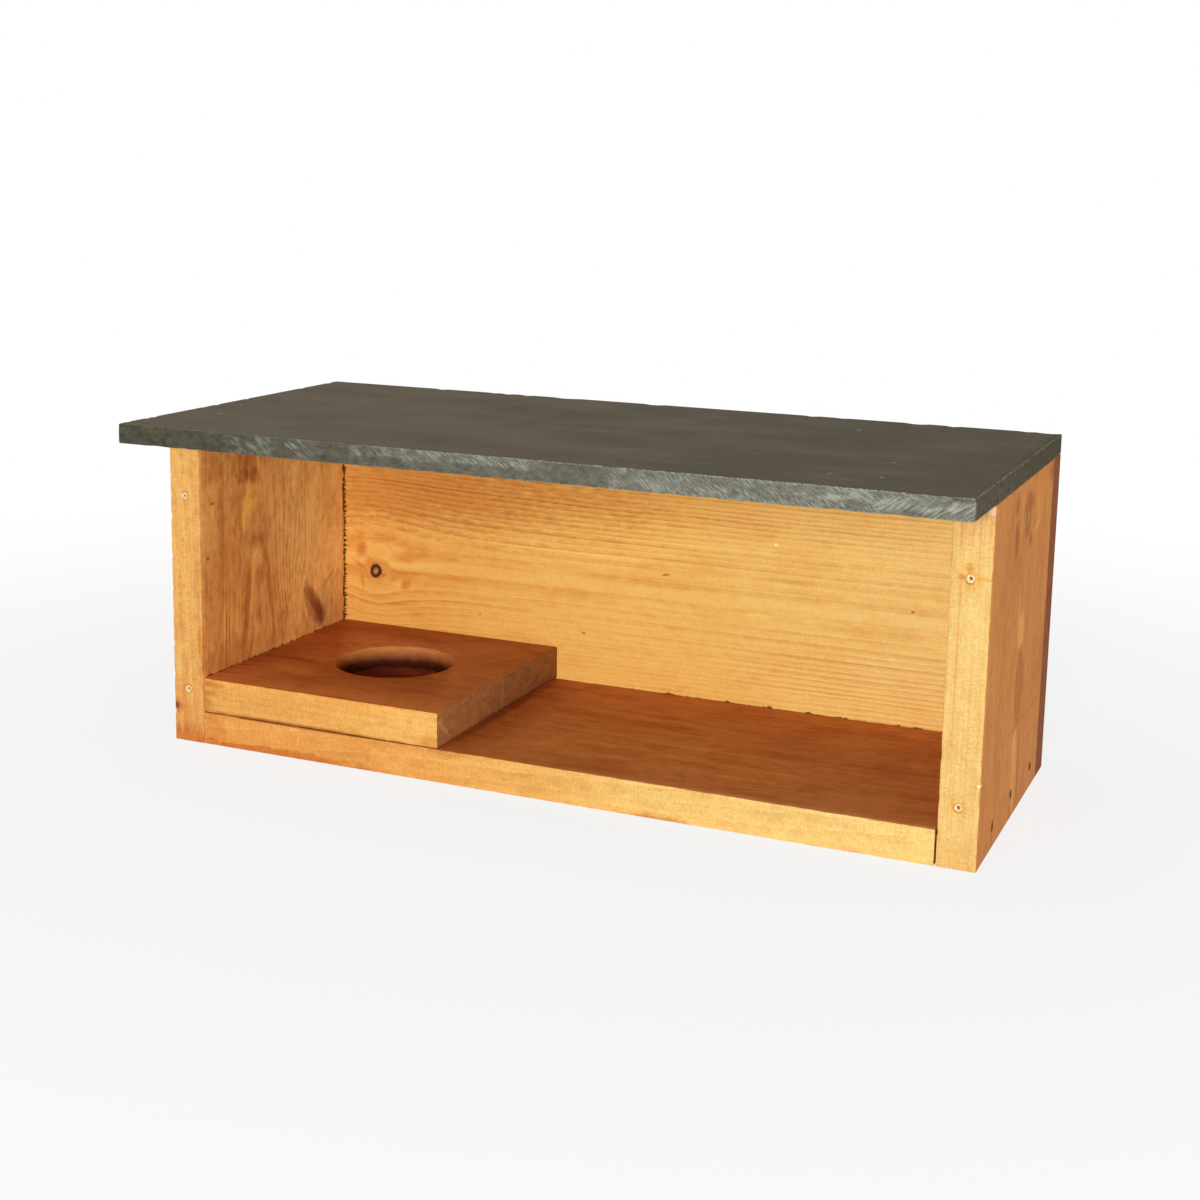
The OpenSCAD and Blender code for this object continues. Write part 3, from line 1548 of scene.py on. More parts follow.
@dataclass
class SideBoard(Board):
    """A side of the box, with two screw holes in its front edge.

    Attributes:
        hand: Which end of the box it closes.
        raw: The torn wood of its screw holes.
        screws_at: The heights of the screw holes.
        torn_places: How far the middle of each torn mouth lies from its hole, across and up.
        bore_radius: The radius of a screw hole.
        bore_depth: Its depth.
        mouth_radius: The radius of its torn mouth.
        mouth_depth: The depth of its torn mouth.
        collar_height: How far the torn fibres stand up.
    """

    hand: Hand = Hand.RIGHT
    raw: Material | None = None
    screws_at: Pair = (32 * MM, 146 * MM)
    torn_places: tuple[Pair, Pair] = ((-0.3 * MM, -0.3 * MM), (-0.35 * MM, -0.45 * MM))
    bore_radius: float = 1.1 * MM
    bore_depth: float = 26 * MM
    mouth_radius: float = 1.8 * MM
    mouth_depth: float = 0.7 * MM
    collar_height: float = 0.3 * MM

    def shape(self, piece: Piece) -> None:
        """Wears the front arrises and tears the rear one that the back panel meets.

        Args:
            piece: The side.
        """
        low, high = self.low, self.high
        outwards = self.hand.value
        inner, outer = (low.x, high.x) if self.hand is Hand.RIGHT else (high.x, low.x)
        torn = self.notches(Z, 3.4 * MM, (0.7 * MM, 1.5 * MM), (0.3 * MM, 1.1 * MM))
        rubbed = self.notches(Z, 17 * MM, (0.8 * MM, 2.5 * MM), (0.1 * MM, 0.35 * MM))
        rear = Arris(Z, Vector((inner, high.y, 0)), Vector((outwards * 0.4, -1, 0)))
        Bench.wear(piece, rear, self.ease, 1.9 * MM, torn, 0.12 * MM, self.seed)
        for x, into in ((inner, outwards), (outer, -outwards)):
            front = Arris(Z, Vector((x, low.y, 0)), Vector((into, 1, 0)))
            Bench.wear(piece, front, self.ease, 1.9 * MM, rubbed, 0.05 * MM, self.seed + 1)

    def holes(self, wood: Material) -> list[Piece]:
        """Adds the screw holes to the nail holes.

        Args:
            wood: The material that the nail holes' walls take.

        Returns:
            The solids that cut them all.
        """
        rings = [
            (self.mouth_radius, -1 * MM),
            (self.mouth_radius, 0.0),
            (self.bore_radius, self.mouth_depth),
            (self.bore_radius, self.bore_depth),
        ]
        in_mouth = self.low.y + self.mouth_depth / 2
        made = super().holes(wood)
        for number, (bored, torn) in enumerate(self._mouths()):
            hole = Bench.turned(
                f"{self.node}_screw_hole_{number}", rings, bored, Vector((0, 1, 0)), sides=20,
                ragged=2, stray=self.mouth_radius * 0.12, seed=self.seed + number,
            )
            Bench.nudge(hole, lambda vert: vert.co.y < in_mouth, torn - bored)
            hole.data.materials.append(self.raw)
            made.append(hole)
        return made

    def collars(self) -> Piece:
        """Makes the low rims of torn fibres that the screws left round their holes.

        Returns:
            The finished piece.
        """
        rings = [
            (self.mouth_radius * 1.2, self.mouth_depth),
            (self.mouth_radius * 1.12, -self.collar_height * 0.6),
            (self.mouth_radius * 0.9, -self.collar_height),
            (self.bore_radius * 0.9, 0.1 * MM),
            (self.bore_radius * 0.95, self.mouth_depth * 1.6),
        ]
        rims = []
        for number, (bored, torn) in enumerate(self._mouths()):
            rim = Bench.turned(
                f"{self.node}_screw_fibres", rings, (bored + torn) / 2, Vector((0, 1, 0)), sides=22,
                hollow=True, ragged=len(rings), stray=0.16 * MM, seed=self.seed + number,
            )
            rim.data.materials.append(self.raw)
            rims.append(rim)
        piece = Bench.join(rims)
        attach(piece, self.body)
        return piece

    def _mouths(self) -> list[tuple[Vector, Vector]]:
        """Finds the screw holes and the torn mouths round them.

        Returns:
            The middle of each hole, with that of its mouth.
        """
        across = (self.low.x + self.high.x) / 2
        middles = [Vector((across, self.low.y, up)) for up in self.screws_at]
        return [(at, at + Vector((x, 0, z))) for at, (x, z) in zip(middles, self.torn_places)]


@dataclass
class FloorBoard(Board):
    """The floor, with a torn rear arris.

    Attributes:
        torn_at: The middle and the half length of each tear.
        torn_depth: How deep the tears are.
    """

    torn_at: tuple[Pair, ...] = (
        (-40 * MM, 4 * MM), (27 * MM, 3 * MM), (80 * MM, 5 * MM), (115 * MM, 2 * MM),
        (126 * MM, 4 * MM), (139 * MM, 4 * MM), (188 * MM, 4 * MM), (197 * MM, 3 * MM),
    )
    torn_depth: float = 0.3 * MM

    def shape(self, piece: Piece) -> None:
        """Tears the top rear arris and rubs the top front one.

        Args:
            piece: The floor.
        """
        top = self.high.z
        torn = [(place, half, self.torn_depth) for place, half in self.torn_at]
        rubbed = self.notches(X, 30 * MM, (1 * MM, 4 * MM), (0.1 * MM, 0.3 * MM))
        rear = Arris(X, Vector((0, self.high.y, top)), Vector((0, -1, -0.5)))
        front = Arris(X, Vector((0, self.low.y, top)), Vector((0, 1, -1)))
        Bench.wear(piece, rear, self.ease, 4.3 * MM, torn, 0.1 * MM, self.seed)
        Bench.wear(piece, front, self.ease, 4.3 * MM, rubbed, 0.05 * MM, self.seed + 1)


@dataclass
class NestBlock(Board):
    """The loose block, with a round hole drilled right through it.

    Attributes:
        hole_radius: The hole's radius.
        rim: How wide its rims are eased.
    """

    hole_radius: float = 35.5 * MM
    rim: float = 0.8 * MM

    def holes(self, wood: Material) -> list[Piece]:
        """Makes the hole, with both rims eased in two steps.

        Args:
            wood: The material that its wall takes.

        Returns:
            The solid that cuts it.
        """
        thick = self.high.z - self.low.z
        radius, wide = self.hole_radius, self.hole_radius + self.rim
        between = radius + self.rim * 0.3, self.rim * 0.35
        rings = [
            (wide, -1 * MM),
            (wide, 0.0),
            between,
            (radius, self.rim),
            (radius, thick - self.rim),
            (between[0], thick - between[1]),
            (wide, thick),
            (wide, thick + 1 * MM),
        ]
        at = Vector((HOLE_X * MM, HOLE_Y * MM, self.low.z))
        hole = Bench.turned("nest_hole", rings, at, Vector((0, 0, 1)), sides=128)
        hole.data.materials.append(wood)
        return [hole]


@dataclass
class SlateRoof(Board):
    """The slate, sawn to size, with small chips along its arrises."""

    ease: float = 0.7 * MM
    seed: int = 5

    def name(self) -> str:
        """Names the piece."""
        return "roof_slate"

    def shape(self, piece: Piece) -> None:
        """Chips the arrises that show.

        Args:
            piece: The slate.
        """
        dice = random.Random(self.seed)
        for number, arris in enumerate(self._arrises()):
            start, end = self.low[arris.run], self.high[arris.run]
            chips = [
                (dice.uniform(start, end), dice.uniform(0.8, 2.6) * MM, dice.uniform(0.1, 0.4) * MM)
                for _ in range(round((end - start) / (22 * MM)))
            ]
            Bench.wear(piece, arris, self.ease, 2.2 * MM, chips, 0.1 * MM, self.seed + number)

    def _arrises(self) -> list[Arris]:
        """Lists the arrises that show.

        Returns:
            Those of the top face, the lower front one and the front right corner.
        """
        left, front, bottom = self.low
        right, rear, top = self.high
        return [
            Arris(X, Vector((0, front, top)), Vector((0, 1, -1))),
            Arris(X, Vector((0, front, bottom)), Vector((0, 1, 1))),
            Arris(X, Vector((0, rear, top)), Vector((0, -1, -1))),
            Arris(Y, Vector((right, 0, top)), Vector((-1, 0, -1))),
            Arris(Y, Vector((left, 0, top)), Vector((1, 0, -1))),
            Arris(Z, Vector((right, front, 0)), Vector((-1, 1, 0))),
        ]


@dataclass(frozen=True)
class Lamp:
    """A square soft lamp that faces the box.

    Attributes:
        name: The lamp's name.
        at: Where it hangs.
        width: How wide it is.
        power: Its power, in watts.
    """

    name: str
    at: Triple
    width: float
    power: float

    def hang(self) -> None:
        """Puts the lamp into the scene."""
        data = bpy.data.lights.new(self.name, "AREA")
        data.shape = "SQUARE"
        data.size = self.width
        data.energy = self.power
        lamp = bpy.data.objects.new(self.name, data)
        at, middle = Vector(self.at), Vector((0, 0, 0.09))
        aimed = (middle - at).to_track_quat("-Z", "Y").to_matrix().to_4x4()
        lamp.matrix_world = Matrix.Translation(at) @ aimed
        bpy.context.scene.collection.objects.link(lamp)


@dataclass(frozen=True)
class Studio:
    """A pale floor under soft light, seen from the photograph's place.

    Attributes:
        camera_at: Where the camera stands, in metres.
        heading: How far it is turned to the left, in degrees.
        tilt: How far it looks down.
        roll: How far it leans.
        lens: Its focal length, in millimetres.
        sensor: The width of its sensor.
        shift: How far the picture is shifted, as a share of its width.
        lamps: The lamps.
        fill: The strength of the light from all round.
    """

    camera_at: Triple = (0.3970, -0.9193, 0.3378)
    heading: float = 23.675
    tilt: float = 10.040
    roll: float = 0.961
    lens: float = 55.12
    sensor: float = 36.0
    shift: Pair = (0.0151, -0.0946)
    lamps: tuple[Lamp, ...] = (
        Lamp("key", (0.42, -2.0, 0.42), 0.36, 29.0),
        Lamp("top", (-0.25, -0.35, 1.9), 1.3, 7.0),
        Lamp("side", (2.0, -1.2, 0.5), 0.6, 5.0),
    )
    fill: float = 0.32

    def build(self) -> None:
        """Sets up the camera, the floor, the lamps and the world."""
        self._camera()
        self._floor()
        for lamp in self.lamps:
            lamp.hang()
        self._world()
        bpy.context.scene.view_settings.view_transform = "Standard"

    def _camera(self) -> None:
        """Places the camera."""
        data = bpy.data.cameras.new("camera")
        data.lens = self.lens
        data.sensor_width = self.sensor
        data.shift_x, data.shift_y = self.shift
        data.clip_start = 0.01
        camera = bpy.data.objects.new("camera", data)
        heading, tilt = math.radians(self.heading), math.radians(self.tilt)
        forward = Vector((
            -math.sin(heading) * math.cos(tilt), math.cos(heading) * math.cos(tilt), -math.sin(tilt)
        ))
        level = forward.to_track_quat("-Z", "Y").to_matrix()
        turn = level @ Matrix.Rotation(math.radians(self.roll), 3, "Z")
        camera.matrix_world = Matrix.Translation(Vector(self.camera_at)) @ turn.to_4x4()
        bpy.context.scene.collection.objects.link(camera)
        bpy.context.scene.camera = camera

    def _floor(self) -> None:
        """Lays the floor, whose colour fades to plain white away from the box."""
        bpy.ops.object.select_all(action="DESELECT")
        bpy.ops.mesh.primitive_plane_add(size=12, location=(0, 0, 0))
        floor = Bench.keep_place()
        floor.name = "studio_floor"
        shader = Shader("studio_floor")
        far = shader.rise(shader.place.length(), 260.0, 900.0)
        share = shader.background_share() * (0.8 + far * 0.2)
        white = shader.node("ShaderNodeEmission", {}, {"Color": (1, 1, 1, 1), "Strength": 1.0})
        shader.surface.inputs["Base Color"].default_value = seen(238, 238, 236)
        shader.surface.inputs["Roughness"].default_value = 0.9
        shader.surface.inputs["Specular IOR Level"].default_value = 0.0
        pale = Field(shader, shader.surface.outputs[0])
        blended = shader.node("ShaderNodeMixShader", {}, {0: share, 1: pale, 2: white})
        shader.feed(shader.tree.nodes["Material Output"].inputs["Surface"], blended)
        floor.data.materials.append(shader.material)

    def _world(self) -> None:
        """Fills the scene with soft light, and shows white behind the box."""
        world = bpy.data.worlds.new("studio")
        world.use_nodes = True
        bpy.context.scene.world = world
        nodes = Nodes(world.node_tree)
        back = world.node_tree.nodes["Background"]
        back.inputs["Color"].default_value = (1, 1, 1, 1)
        strength = self.fill + nodes.background_share() * (1 - self.fill)
        nodes.feed(back.inputs["Strength"], strength)


def back_pine() -> PineFinish:
    """The back panel's wood: rings that crowd above and below, and a knot at the left.

    Returns:
        The finish.
    """
    box = box_of("back_panel", Grain.WALL)
    face = Face(THROUGH, box[0][THROUGH])
    redder = times(0.72, 0.55, 0.46)
    orange = times(0.88, 0.66, 0.58)
    paler = times(1.06, 1.2, 1.12)
    knot = Knot(
        at=(-191.7, 73.9),
        reach=(4.5, 4.9),
        stops=(
            (0, seen(206, 152, 88)),
            (0.3, seen(190, 138, 74)),
            (0.45, seen(128, 84, 38)),
            (0.6, seen(80, 46, 20)),
            (0.85, seen(66, 34, 16)),
            (1, seen(128, 80, 38)),
        ),
        sweep=3.3,
        soft=0.2,
    )
    lobe = Knot(
        at=(-189, 86.5),
        reach=(10.5, 6.6),
        stops=((0, seen(240, 180, 92)), (0.8, seen(248, 194, 104)), (1, seen(220, 142, 72))),
        sweep=1.25,
        cover=0.45,
        soft=0.14,
    )
    marks = (
        face.tint((-160, 132), (120, 24), redder, 0.95, soft=0.7),
        face.tint((10, 136), (120, 12), redder, 0.45, soft=0.9),
        face.tint((-190, 60), (90, 60), times(0.88, 0.76, 0.66), 0.85, soft=0.9),
        face.tint((190, 90), (120, 100), times(1, 1.17, 1.5), 0.9, soft=0.9),
        face.tint((-208, 92), (8, 6), orange, 0.7, 0, 0.7),
        face.tint((-202.5, 87), (3, 5), times(0.78, 0.5, 0.44), 0.9, -25, 0.6),
        face.tint((-189, 94.6), (12, 1.4), orange, 0.8, 0, 0.7, 0.15),
        face.tint((-168, 85), (11, 3.4), orange, 0.9, 10, 0.6),
        face.tint((-181, 79), (5, 4.6), paler, 0.6, 0, 0.5, 0.15),
        face.tint((-160, 81), (22, 2), paler, 0.8, 5, 0.6, 0.15),
        face.tint((-171, 75), (11, 1), orange, 0.8, 3, 0.6, 0.15),
        face.tint((-184, 69), (3.4, 2.2), times(1.06, 1.3, 1.1), 0.8, 30, 0.6),
        face.tint((-174.5, 67.5), (2.4, 3.4), times(1.06, 1.3, 1.1), 0.8, -30, 0.6),
        face.tint((-170, 66.8), (3.6, 2.8), times(0.82, 0.54, 0.48), 0.9, 20, 0.7),
        face.tint((-207, 83.4), (5.5, 1.5), paler, 0.9, -8, 0.6, 0.15),
        face.tint((-201.4, 79.8), (3.4, 1.5), paler, 0.9, -50, 0.6, 0.15),
        face.tint((-204, 77.2), (6, 1.2), orange, 0.9, -32, 0.6, 0.15),
        face.tint((-201.8, 66.5), (1.1, 5), orange, 0.9, 8, 0.6, 0.15),
        face.tint((-186.2, 71.6), (1.6, 0.9), redder, 0.9, 35, 0.5, 0.15),
        face.tint((85, 97), (16, 1), redder, 0.4, 1, 0.7),
        face.tint((-70, 101), (60, 1.6), paler, 0.7, -1, 0.7, 0.15),
        face.tint((60, 74), (90, 1.8), paler, 0.6, 0.5, 0.7, 0.15),
        face.mark((78, 118), (1.2, 0.9), seen(255, 232, 170), 0.9, soft=0.3),
        face.mark((9, 92.7), (2.2, 0.6), seen(150, 80, 30), 0.7, 12),
        face.mark((161, 87), (0.9, 0.7), seen(130, 70, 35), 0.7),
        face.mark((-116, 54), (1.2, 0.6), seen(170, 96, 40), 0.7),
        face.mark((-44, 50), (1.4, 0.7), seen(176, 100, 42), 0.7),
        # Painted shade of the gap between the left side's rear edge and the back panel, with stain
        # pooled in it
        StainAndShadeSeam(
            ALONG, -INNER_X, (ACROSS, FLOOR_TOP, SIDE_TOP), face, (-0.7, 2.2), 1.6, seen(68, 28, 10), 0.9
        ),
        # Stain and painted shade in the crease where the floor meets the back panel
        StainAndShadeSeam(ACROSS, FLOOR_TOP, (ALONG, -20, INNER_X), face, (-1.5, 0.8), 9, seen(90, 44, 18)),
    )
    return PineFinish(
        name="back_pine",
        grain=Grain.WALL,
        box=box,
        rings=Rings(pith=(81, face.at + 35), spacing=2.35, crowding=0.45, sway=1.3),
        face=Coat(seen(255, 218, 132), seen(249, 196, 102), seen(214, 122, 60)),
        edge=Coat(seen(240, 190, 105), seen(215, 150, 78), seen(180, 105, 50)),
        end=seen(206, 124, 76),
        blotch=times(0.93, 0.79, 0.68),
        contrast=0.3,
        fibres=0.35,
        mottle=0.45,
        blotches=0.4,
        bold=(
            face.mark((-110, 124), (150, 22), cover=0.6, soft=0.8),
            face.mark((150, 38), (80, 20), cover=0.5, soft=0.8),
            face.mark((110, 134), (110, 14), cover=0.3, soft=0.8),
            face.mark((-185, 60), (50, 20), cover=0.35, soft=0.8),
        ),
        knots=(lobe, knot),
        marks=marks,
    )


def left_pine() -> PineFinish:
    """The left side: a tall arch in the rings, an almond knot and dark blotches.

    Returns:
        The finish.
    """
    face = Face(THROUGH, -INNER_X)
    front = Face(ACROSS, FRONT_Y)
    dark = times(0.7, 0.52, 0.46)
    browner = times(0.8, 0.68, 0.64)
    bright = times(1.24, 1.38, 1.1)
    paler = times(1.14, 1.28, 1.36)
    knot = Knot(
        at=(57, 54.5),
        reach=(17.5, 7),
        stops=(
            (0, seen(150, 88, 50)),
            (0.6, seen(172, 104, 58)),
            (0.85, seen(146, 84, 46)),
            (1, seen(180, 114, 62)),
        ),
        turn=-36.6,
        sweep=1.3,
        cover=0.5,
        soft=0.3,
    )
    ring = seen(150, 92, 50)
    marks = (
        face.tint((100, -45), (70, 36), times(0.82, 0.7, 0.62), 0.8, soft=0.9),
        face.tint((48, 72), (18, 22), times(0.72, 0.68, 0.8), 0.8, soft=0.8),
        face.tint((96, 20), (26, 34), times(0.93, 0.9, 0.91), 0.9, soft=0.9),
        # Painted light that pales the rear of the wall
        face.tint((110, 70), (60, 40), times(1.14, 1.46, 1.6), 0.95, soft=0.8),
        face.tint((120, 30), (40, 30), times(1.06, 1.14, 1.2), 0.8, soft=0.9),
        face.tint((130, -58), (22, 8), paler, 0.8, 0, 0.6, 0.4),
        face.tint((160, -18), (9, 15), dark, 0.7, 8, 0.3, 0.4),
        face.tint((151.5, -21), (4.5, 6), dark, 0.8, 0, 0.3, 0.3),
        face.tint((150.5, -10.5), (4.5, 4.6), dark, 0.8, 0, 0.3, 0.3),
        face.tint((165, -28), (9, 1.5), bright, 0.9, 0, 0.5, 0.2),
        face.tint((161, -6), (10, 1.3), bright, 0.8, -8, 0.5, 0.2),
        face.tint((160, -50), (8, 8), browner, 0.8, 0, 0.3, 0.3),
        face.tint((118, -44), (44, 2.8), browner, 0.8, 2, 0.5, 0.4),
        face.tint((134, -26), (13, 2.6), browner, 0.8, 0, 0.4, 0.3),
        face.tint((72, -19.2), (25, 2.6), dark, 0.98, 7, 0.4, 0.2),
        face.tint((76, 6.6), (24, 1.9), browner, 0.75, -7, 0.4, 0.3),
        face.tint((97, 2), (12, 1.9), browner, 0.8, -16, 0.4, 0.2),
        face.tint((111, -4), (5, 9.5), times(0.68, 0.54, 0.62), 0.8, 0, 0.5, 0.4),
        face.tint((88, -4), (6, 5.5), times(0.76, 0.62, 0.68), 0.8, 0, 0.5, 0.4),
        face.tint((137, -14), (9.5, 7), bright, 0.85, 10, 0.4, 0.3),
        face.tint((127, -21.5), (8, 2.2), bright, 0.8, 0, 0.5, 0.2),
        face.tint((82, -13.6), (20, 1.1), bright, 0.9, 7, 0.5, 0.2),
        face.tint((103, -9.4), (6, 1.1), bright, 0.8, 26, 0.5, 0.2),
        face.tint((108, -5), (2.4, 2.4), bright, 0.8, 0, 0.6, 0.2),
        *(
            face.tint((66, across), (12, width), bright, 0.8, 0, 0.6, 0.15)
            for across, width in ((-43, 0.9), (-39.6, 0.7), (-36.4, 0.8), (-33.4, 0.7), (-29.4, 1.2))
        ),
        face.tint((58, 20), (4, 6), browner, 0.8, 0, 0.5, 0.5),
        face.tint((45, -22), (9, 48), times(0.86, 0.76, 0.72), 0.8, 0, 0.4, 0.5),
        face.mark((58, 56), (14, 3.4), seen(112, 62, 34), 0.75, -34, 0.7, 0.2),
        face.mark((51, 61.4), (7, 4.4), seen(78, 36, 18), 0.95, -30, 0.8, 0.2),
        face.tint((62, 49.4), (9, 0.9), dark, 0.9, -36, 0.5, 0.15),
        face.tint((52, 47), (9, 1.4), paler, 0.8, -30, 0.5, 0.3),
        face.tint((118, 79), (0.7, 4), dark, 0.5, -8, 0.6, 0.15),
        face.tint((71, 73), (1.2, 8.6), dark, 0.6, -35, 0.7, 0.15),
        face.mark((140, -53), (0.9, 1.8), seen(120, 66, 34), 0.7, soft=0.5),
        face.mark((108.6, -58), (0.9, 1.2), seen(110, 58, 32), 0.7, soft=0.5),
        *(
            face.mark((up, back), (0.5, 1.2), seen(238, 190, 136), 0.6, soft=0.6)
            for up, back in ((148, 6.5), (139, 20.5), (138, 49.5), (136, 86), (52, 91),
                             (98, -8), (127, 14), (92, 12))
        ),
        # Painted shade of the gap where the nest block's top meets the left side
        StainAndShadeSeam(ALONG, BLOCK_TOP, (ACROSS, -62, 92), face, (-0.4, 1), 5, seen(80, 34, 14)),
        front.mark((146, -225), (2.6, 2.4), ring, 0.6, soft=0.25, ragged=0.12),
        front.mark((32, -225), (2.6, 2.4), ring, 0.6, soft=0.25, ragged=0.12),
        *(
            front.mark((up, x), (1.1, 0.8), seen(190, 108, 52), 0.5)
            for up, x in ((120, -226.7), (98, -229.6), (93, -226.6), (74, -231.7))
        ),
        front.mark((21, -233), (4.5, 3.5), seen(196, 110, 60), 0.5),
        front.mark((21, -233.5), (2.2, 1.8), seen(120, 60, 34), 0.8, soft=0.4),
        front.tint((0, -225), (9, 16), times(0.76, 0.52, 0.4), 0.9),
        front.tint((6, -225), (26, 16), times(0.92, 0.8, 0.76), 0.9, soft=0.8),
        front.tint((60, -216), (9, 2.4), times(0.86, 0.66, 0.5), 0.9),
    )
    return PineFinish(
        name="left_side_pine",
        grain=Grain.UPRIGHT,
        box=box_of("left_side", Grain.UPRIGHT),
        rings=Rings(pith=(-6, -248.1), spacing=2.58, lean=(0, -0.05), crowding=0.3, sway=1.5),
        face=Coat(seen(255, 208, 124), seen(246, 177, 100), seen(198, 112, 50)),
        edge=Coat(seen(240, 192, 115), seen(228, 171, 95), seen(204, 136, 70)),
        blotch=times(0.76, 0.62, 0.56),
        contrast=0.4,
        fibres=0.4,
        mottle=1.4,
        bold=(
            face.mark((85, 24), (34, 16), cover=0.5, soft=0.7),
            face.mark((66, -36), (16, 10), cover=0.5, soft=0.7),
        ),
        knots=(knot,),
        marks=marks,
    )


def right_pine() -> PineFinish:
    """The right side: quiet rings, and pale and dark blotches down its outer face.

    Returns:
        The finish.
    """
    face = Face(THROUGH, OUTER_X)
    front = Face(ACROSS, FRONT_Y)
    paler = times(1.2, 1.48, 1.55)
    darker = times(0.6, 0.5, 0.52)
    crack = seen(84, 44, 24)
    ring = seen(150, 88, 46)
    marks = (
        face.tint((102, 20), (9.5, 9.5), paler, 0.95, 0, 0.25, 0.25),
        face.tint((116, 11), (11, 6), times(1.1, 1.2, 1.25), 0.8, -20, 0.5, 0.3),
        face.tint((71, 22.5), (21.5, 10.5), times(0.84, 0.66, 0.58), 0.9, 0, 0.14, 0.12),
        face.tint((26, 21), (23.5, 8.5), times(1.2, 1.5, 1.5), 0.95, -4, 0.15, 0.12),
        face.tint((27, 33.5), (20, 2.6), darker, 0.5, -4, 0.6, 0.2),
        face.tint((168, 25), (6, 10), darker, 0.9, 0, 0.5, 0.5),
        face.tint((157, 21), (6, 8), darker, 0.8, 0, 0.5, 0.5),
        face.tint((148, 33), (3, 5), darker, 0.8, 0, 0.5, 0.5),
        face.tint((154, -6), (8, 4.6), darker, 0.9, 0, 0.5, 0.4),
        face.tint((172, -10), (5, 4), darker, 0.7, 0, 0.5, 0.4),
        face.tint((162, 5.5), (14, 4.6), times(1.14, 1.26, 1.2), 0.9, 0, 0.4, 0.2),
        face.tint((150, -14), (26, 22), times(0.92, 0.86, 0.84), 0.8, 0, 0.8),
        face.tint((152, 47), (2.6, 10), times(1.15, 1.34, 1.7), 0.8, -14, 0.6),
        face.tint((168, 60), (12, 20), times(1.14, 1.22, 1.1), 0.9, 0, 0.6),
        face.tint((176, 88), (5, 8), darker, 0.8, 0, 0.7),
        face.tint((50, 34), (0.7, 56), times(0.84, 0.76, 0.72), 0.8, 0, 0.6, 0.1),
        face.mark((84, -24), (0.7, 3.4), seen(226, 170, 118), 0.8, -12, 0.4),
        face.mark((6, -29.3), (5, 0.7), crack, 0.7, soft=0.4, ragged=0.15),
        face.mark((6, 17.8), (6, 0.7), crack, 0.6, soft=0.4, ragged=0.15),
        face.mark((12.5, -29.3), (2.6, 2.4), crack, 0.8, soft=0.3, ragged=0.15),
        face.mark((14.5, 17.8), (2.4, 3.2), crack, 0.8, 20, soft=0.3, ragged=0.15),
        face.mark((13, 72.8), (2.2, 3.4), crack, 0.8, 15, soft=0.3, ragged=0.15),
        front.tint((184, 225), (18, 16), times(0.93, 0.74, 0.84), 0.95, soft=0.8),
        front.tint((172, 219.5), (14, 0.7), times(0.9, 0.7, 0.6), 0.8, 0, 0.6, 0.2),
        front.tint((160, 228.5), (16, 0.6), times(0.94, 0.8, 0.7), 0.8, 0, 0.6, 0.2),
        front.tint((90, 220), (60, 0.7), times(0.95, 0.82, 0.7), 0.7, 0, 0.6, 0.1),
        front.tint((80, 227.5), (50, 0.6), times(0.96, 0.86, 0.76), 0.7, 0, 0.6, 0.1),
        front.tint((6, 225), (10, 16), times(0.98, 0.9, 0.86), 0.8, soft=0.8),
        front.tint((146.4, 221), (1.6, 1.8), times(0.82, 0.6, 0.48), 0.9),
        front.mark((179, 234), (2, 2.4), seen(250, 220, 184), 0.5, ragged=0.5),
        front.tint((145.5, 224.5), (6, 6), times(0.98, 0.78, 0.56), 0.8, soft=0.7),
        front.tint((151, 224), (2.2, 2), times(0.9, 0.68, 0.6), 0.9),
        front.tint((146, 231), (0.8, 4.5), times(0.98, 0.76, 0.5), 0.9, soft=0.5, ragged=0.1),
        front.tint((32, 225), (5, 4.4), times(0.96, 0.8, 0.6), 0.75, soft=0.7),
        front.mark((145.4, 224.5), (2.6, 2.4), ring, 0.7, soft=0.25, ragged=0.12),
        front.mark((31.6, 224.6), (2.5, 2.3), ring, 0.7, soft=0.25, ragged=0.12),
        front.mark((44, 234.4), (0.8, 1), seen(255, 236, 196), 0.7, soft=0.4),
    )
    return PineFinish(
        name="right_side_pine",
        grain=Grain.UPRIGHT,
        box=box_of("right_side", Grain.UPRIGHT),
        rings=Rings(pith=(35, 300), spacing=2.7, lean=(0.02, 0), crowding=0.5, sway=2.5),
        face=Coat(seen(255, 182, 100), seen(240, 157, 82), seen(202, 118, 54)),
        edge=Coat(seen(236, 204, 130), seen(226, 188, 114), seen(214, 160, 88)),
        blotch=times(0.86, 0.76, 0.68),
        contrast=0.4,
        fibres=0.5,
        mottle=1,
        blotches=0.6,
        marks=marks,
    )


def dark_pine(
    node: str, rings: Rings, marks: tuple[Mark | StainAndShadeSeam, ...], end_marks: tuple[Mark, ...] = (),
    bore: HoleShade = HoleShade(),
) -> PineFinish:
    """The red-brown wood of the floor and the nest block, paler on their long edges.

    Args:
        node: Which board.
        rings: How its rings lie.
        marks: Its stains and streaks.
        end_marks: Its marks on the sawn ends.
        bore: The painted shade in its holes.

    Returns:
        The finish.
    """
    return PineFinish(
        name=f"{node}_pine",
        grain=Grain.SHELF,
        box=box_of(node),
        rings=rings,
        face=Coat(seen(234, 152, 84), seen(210, 127, 66), seen(158, 80, 36)),
        edge=Coat(seen(246, 204, 122), seen(232, 180, 98), seen(206, 136, 66)),
        end=seen(178, 118, 70),
        blotch=times(0.8, 0.66, 0.56),
        bore=bore,
        contrast=0.28,
        fibres=0.18,
        mottle=0.8,
        blotches=0.8,
        end_tone=0.9,
        marks=marks,
        end_marks=end_marks,
    )


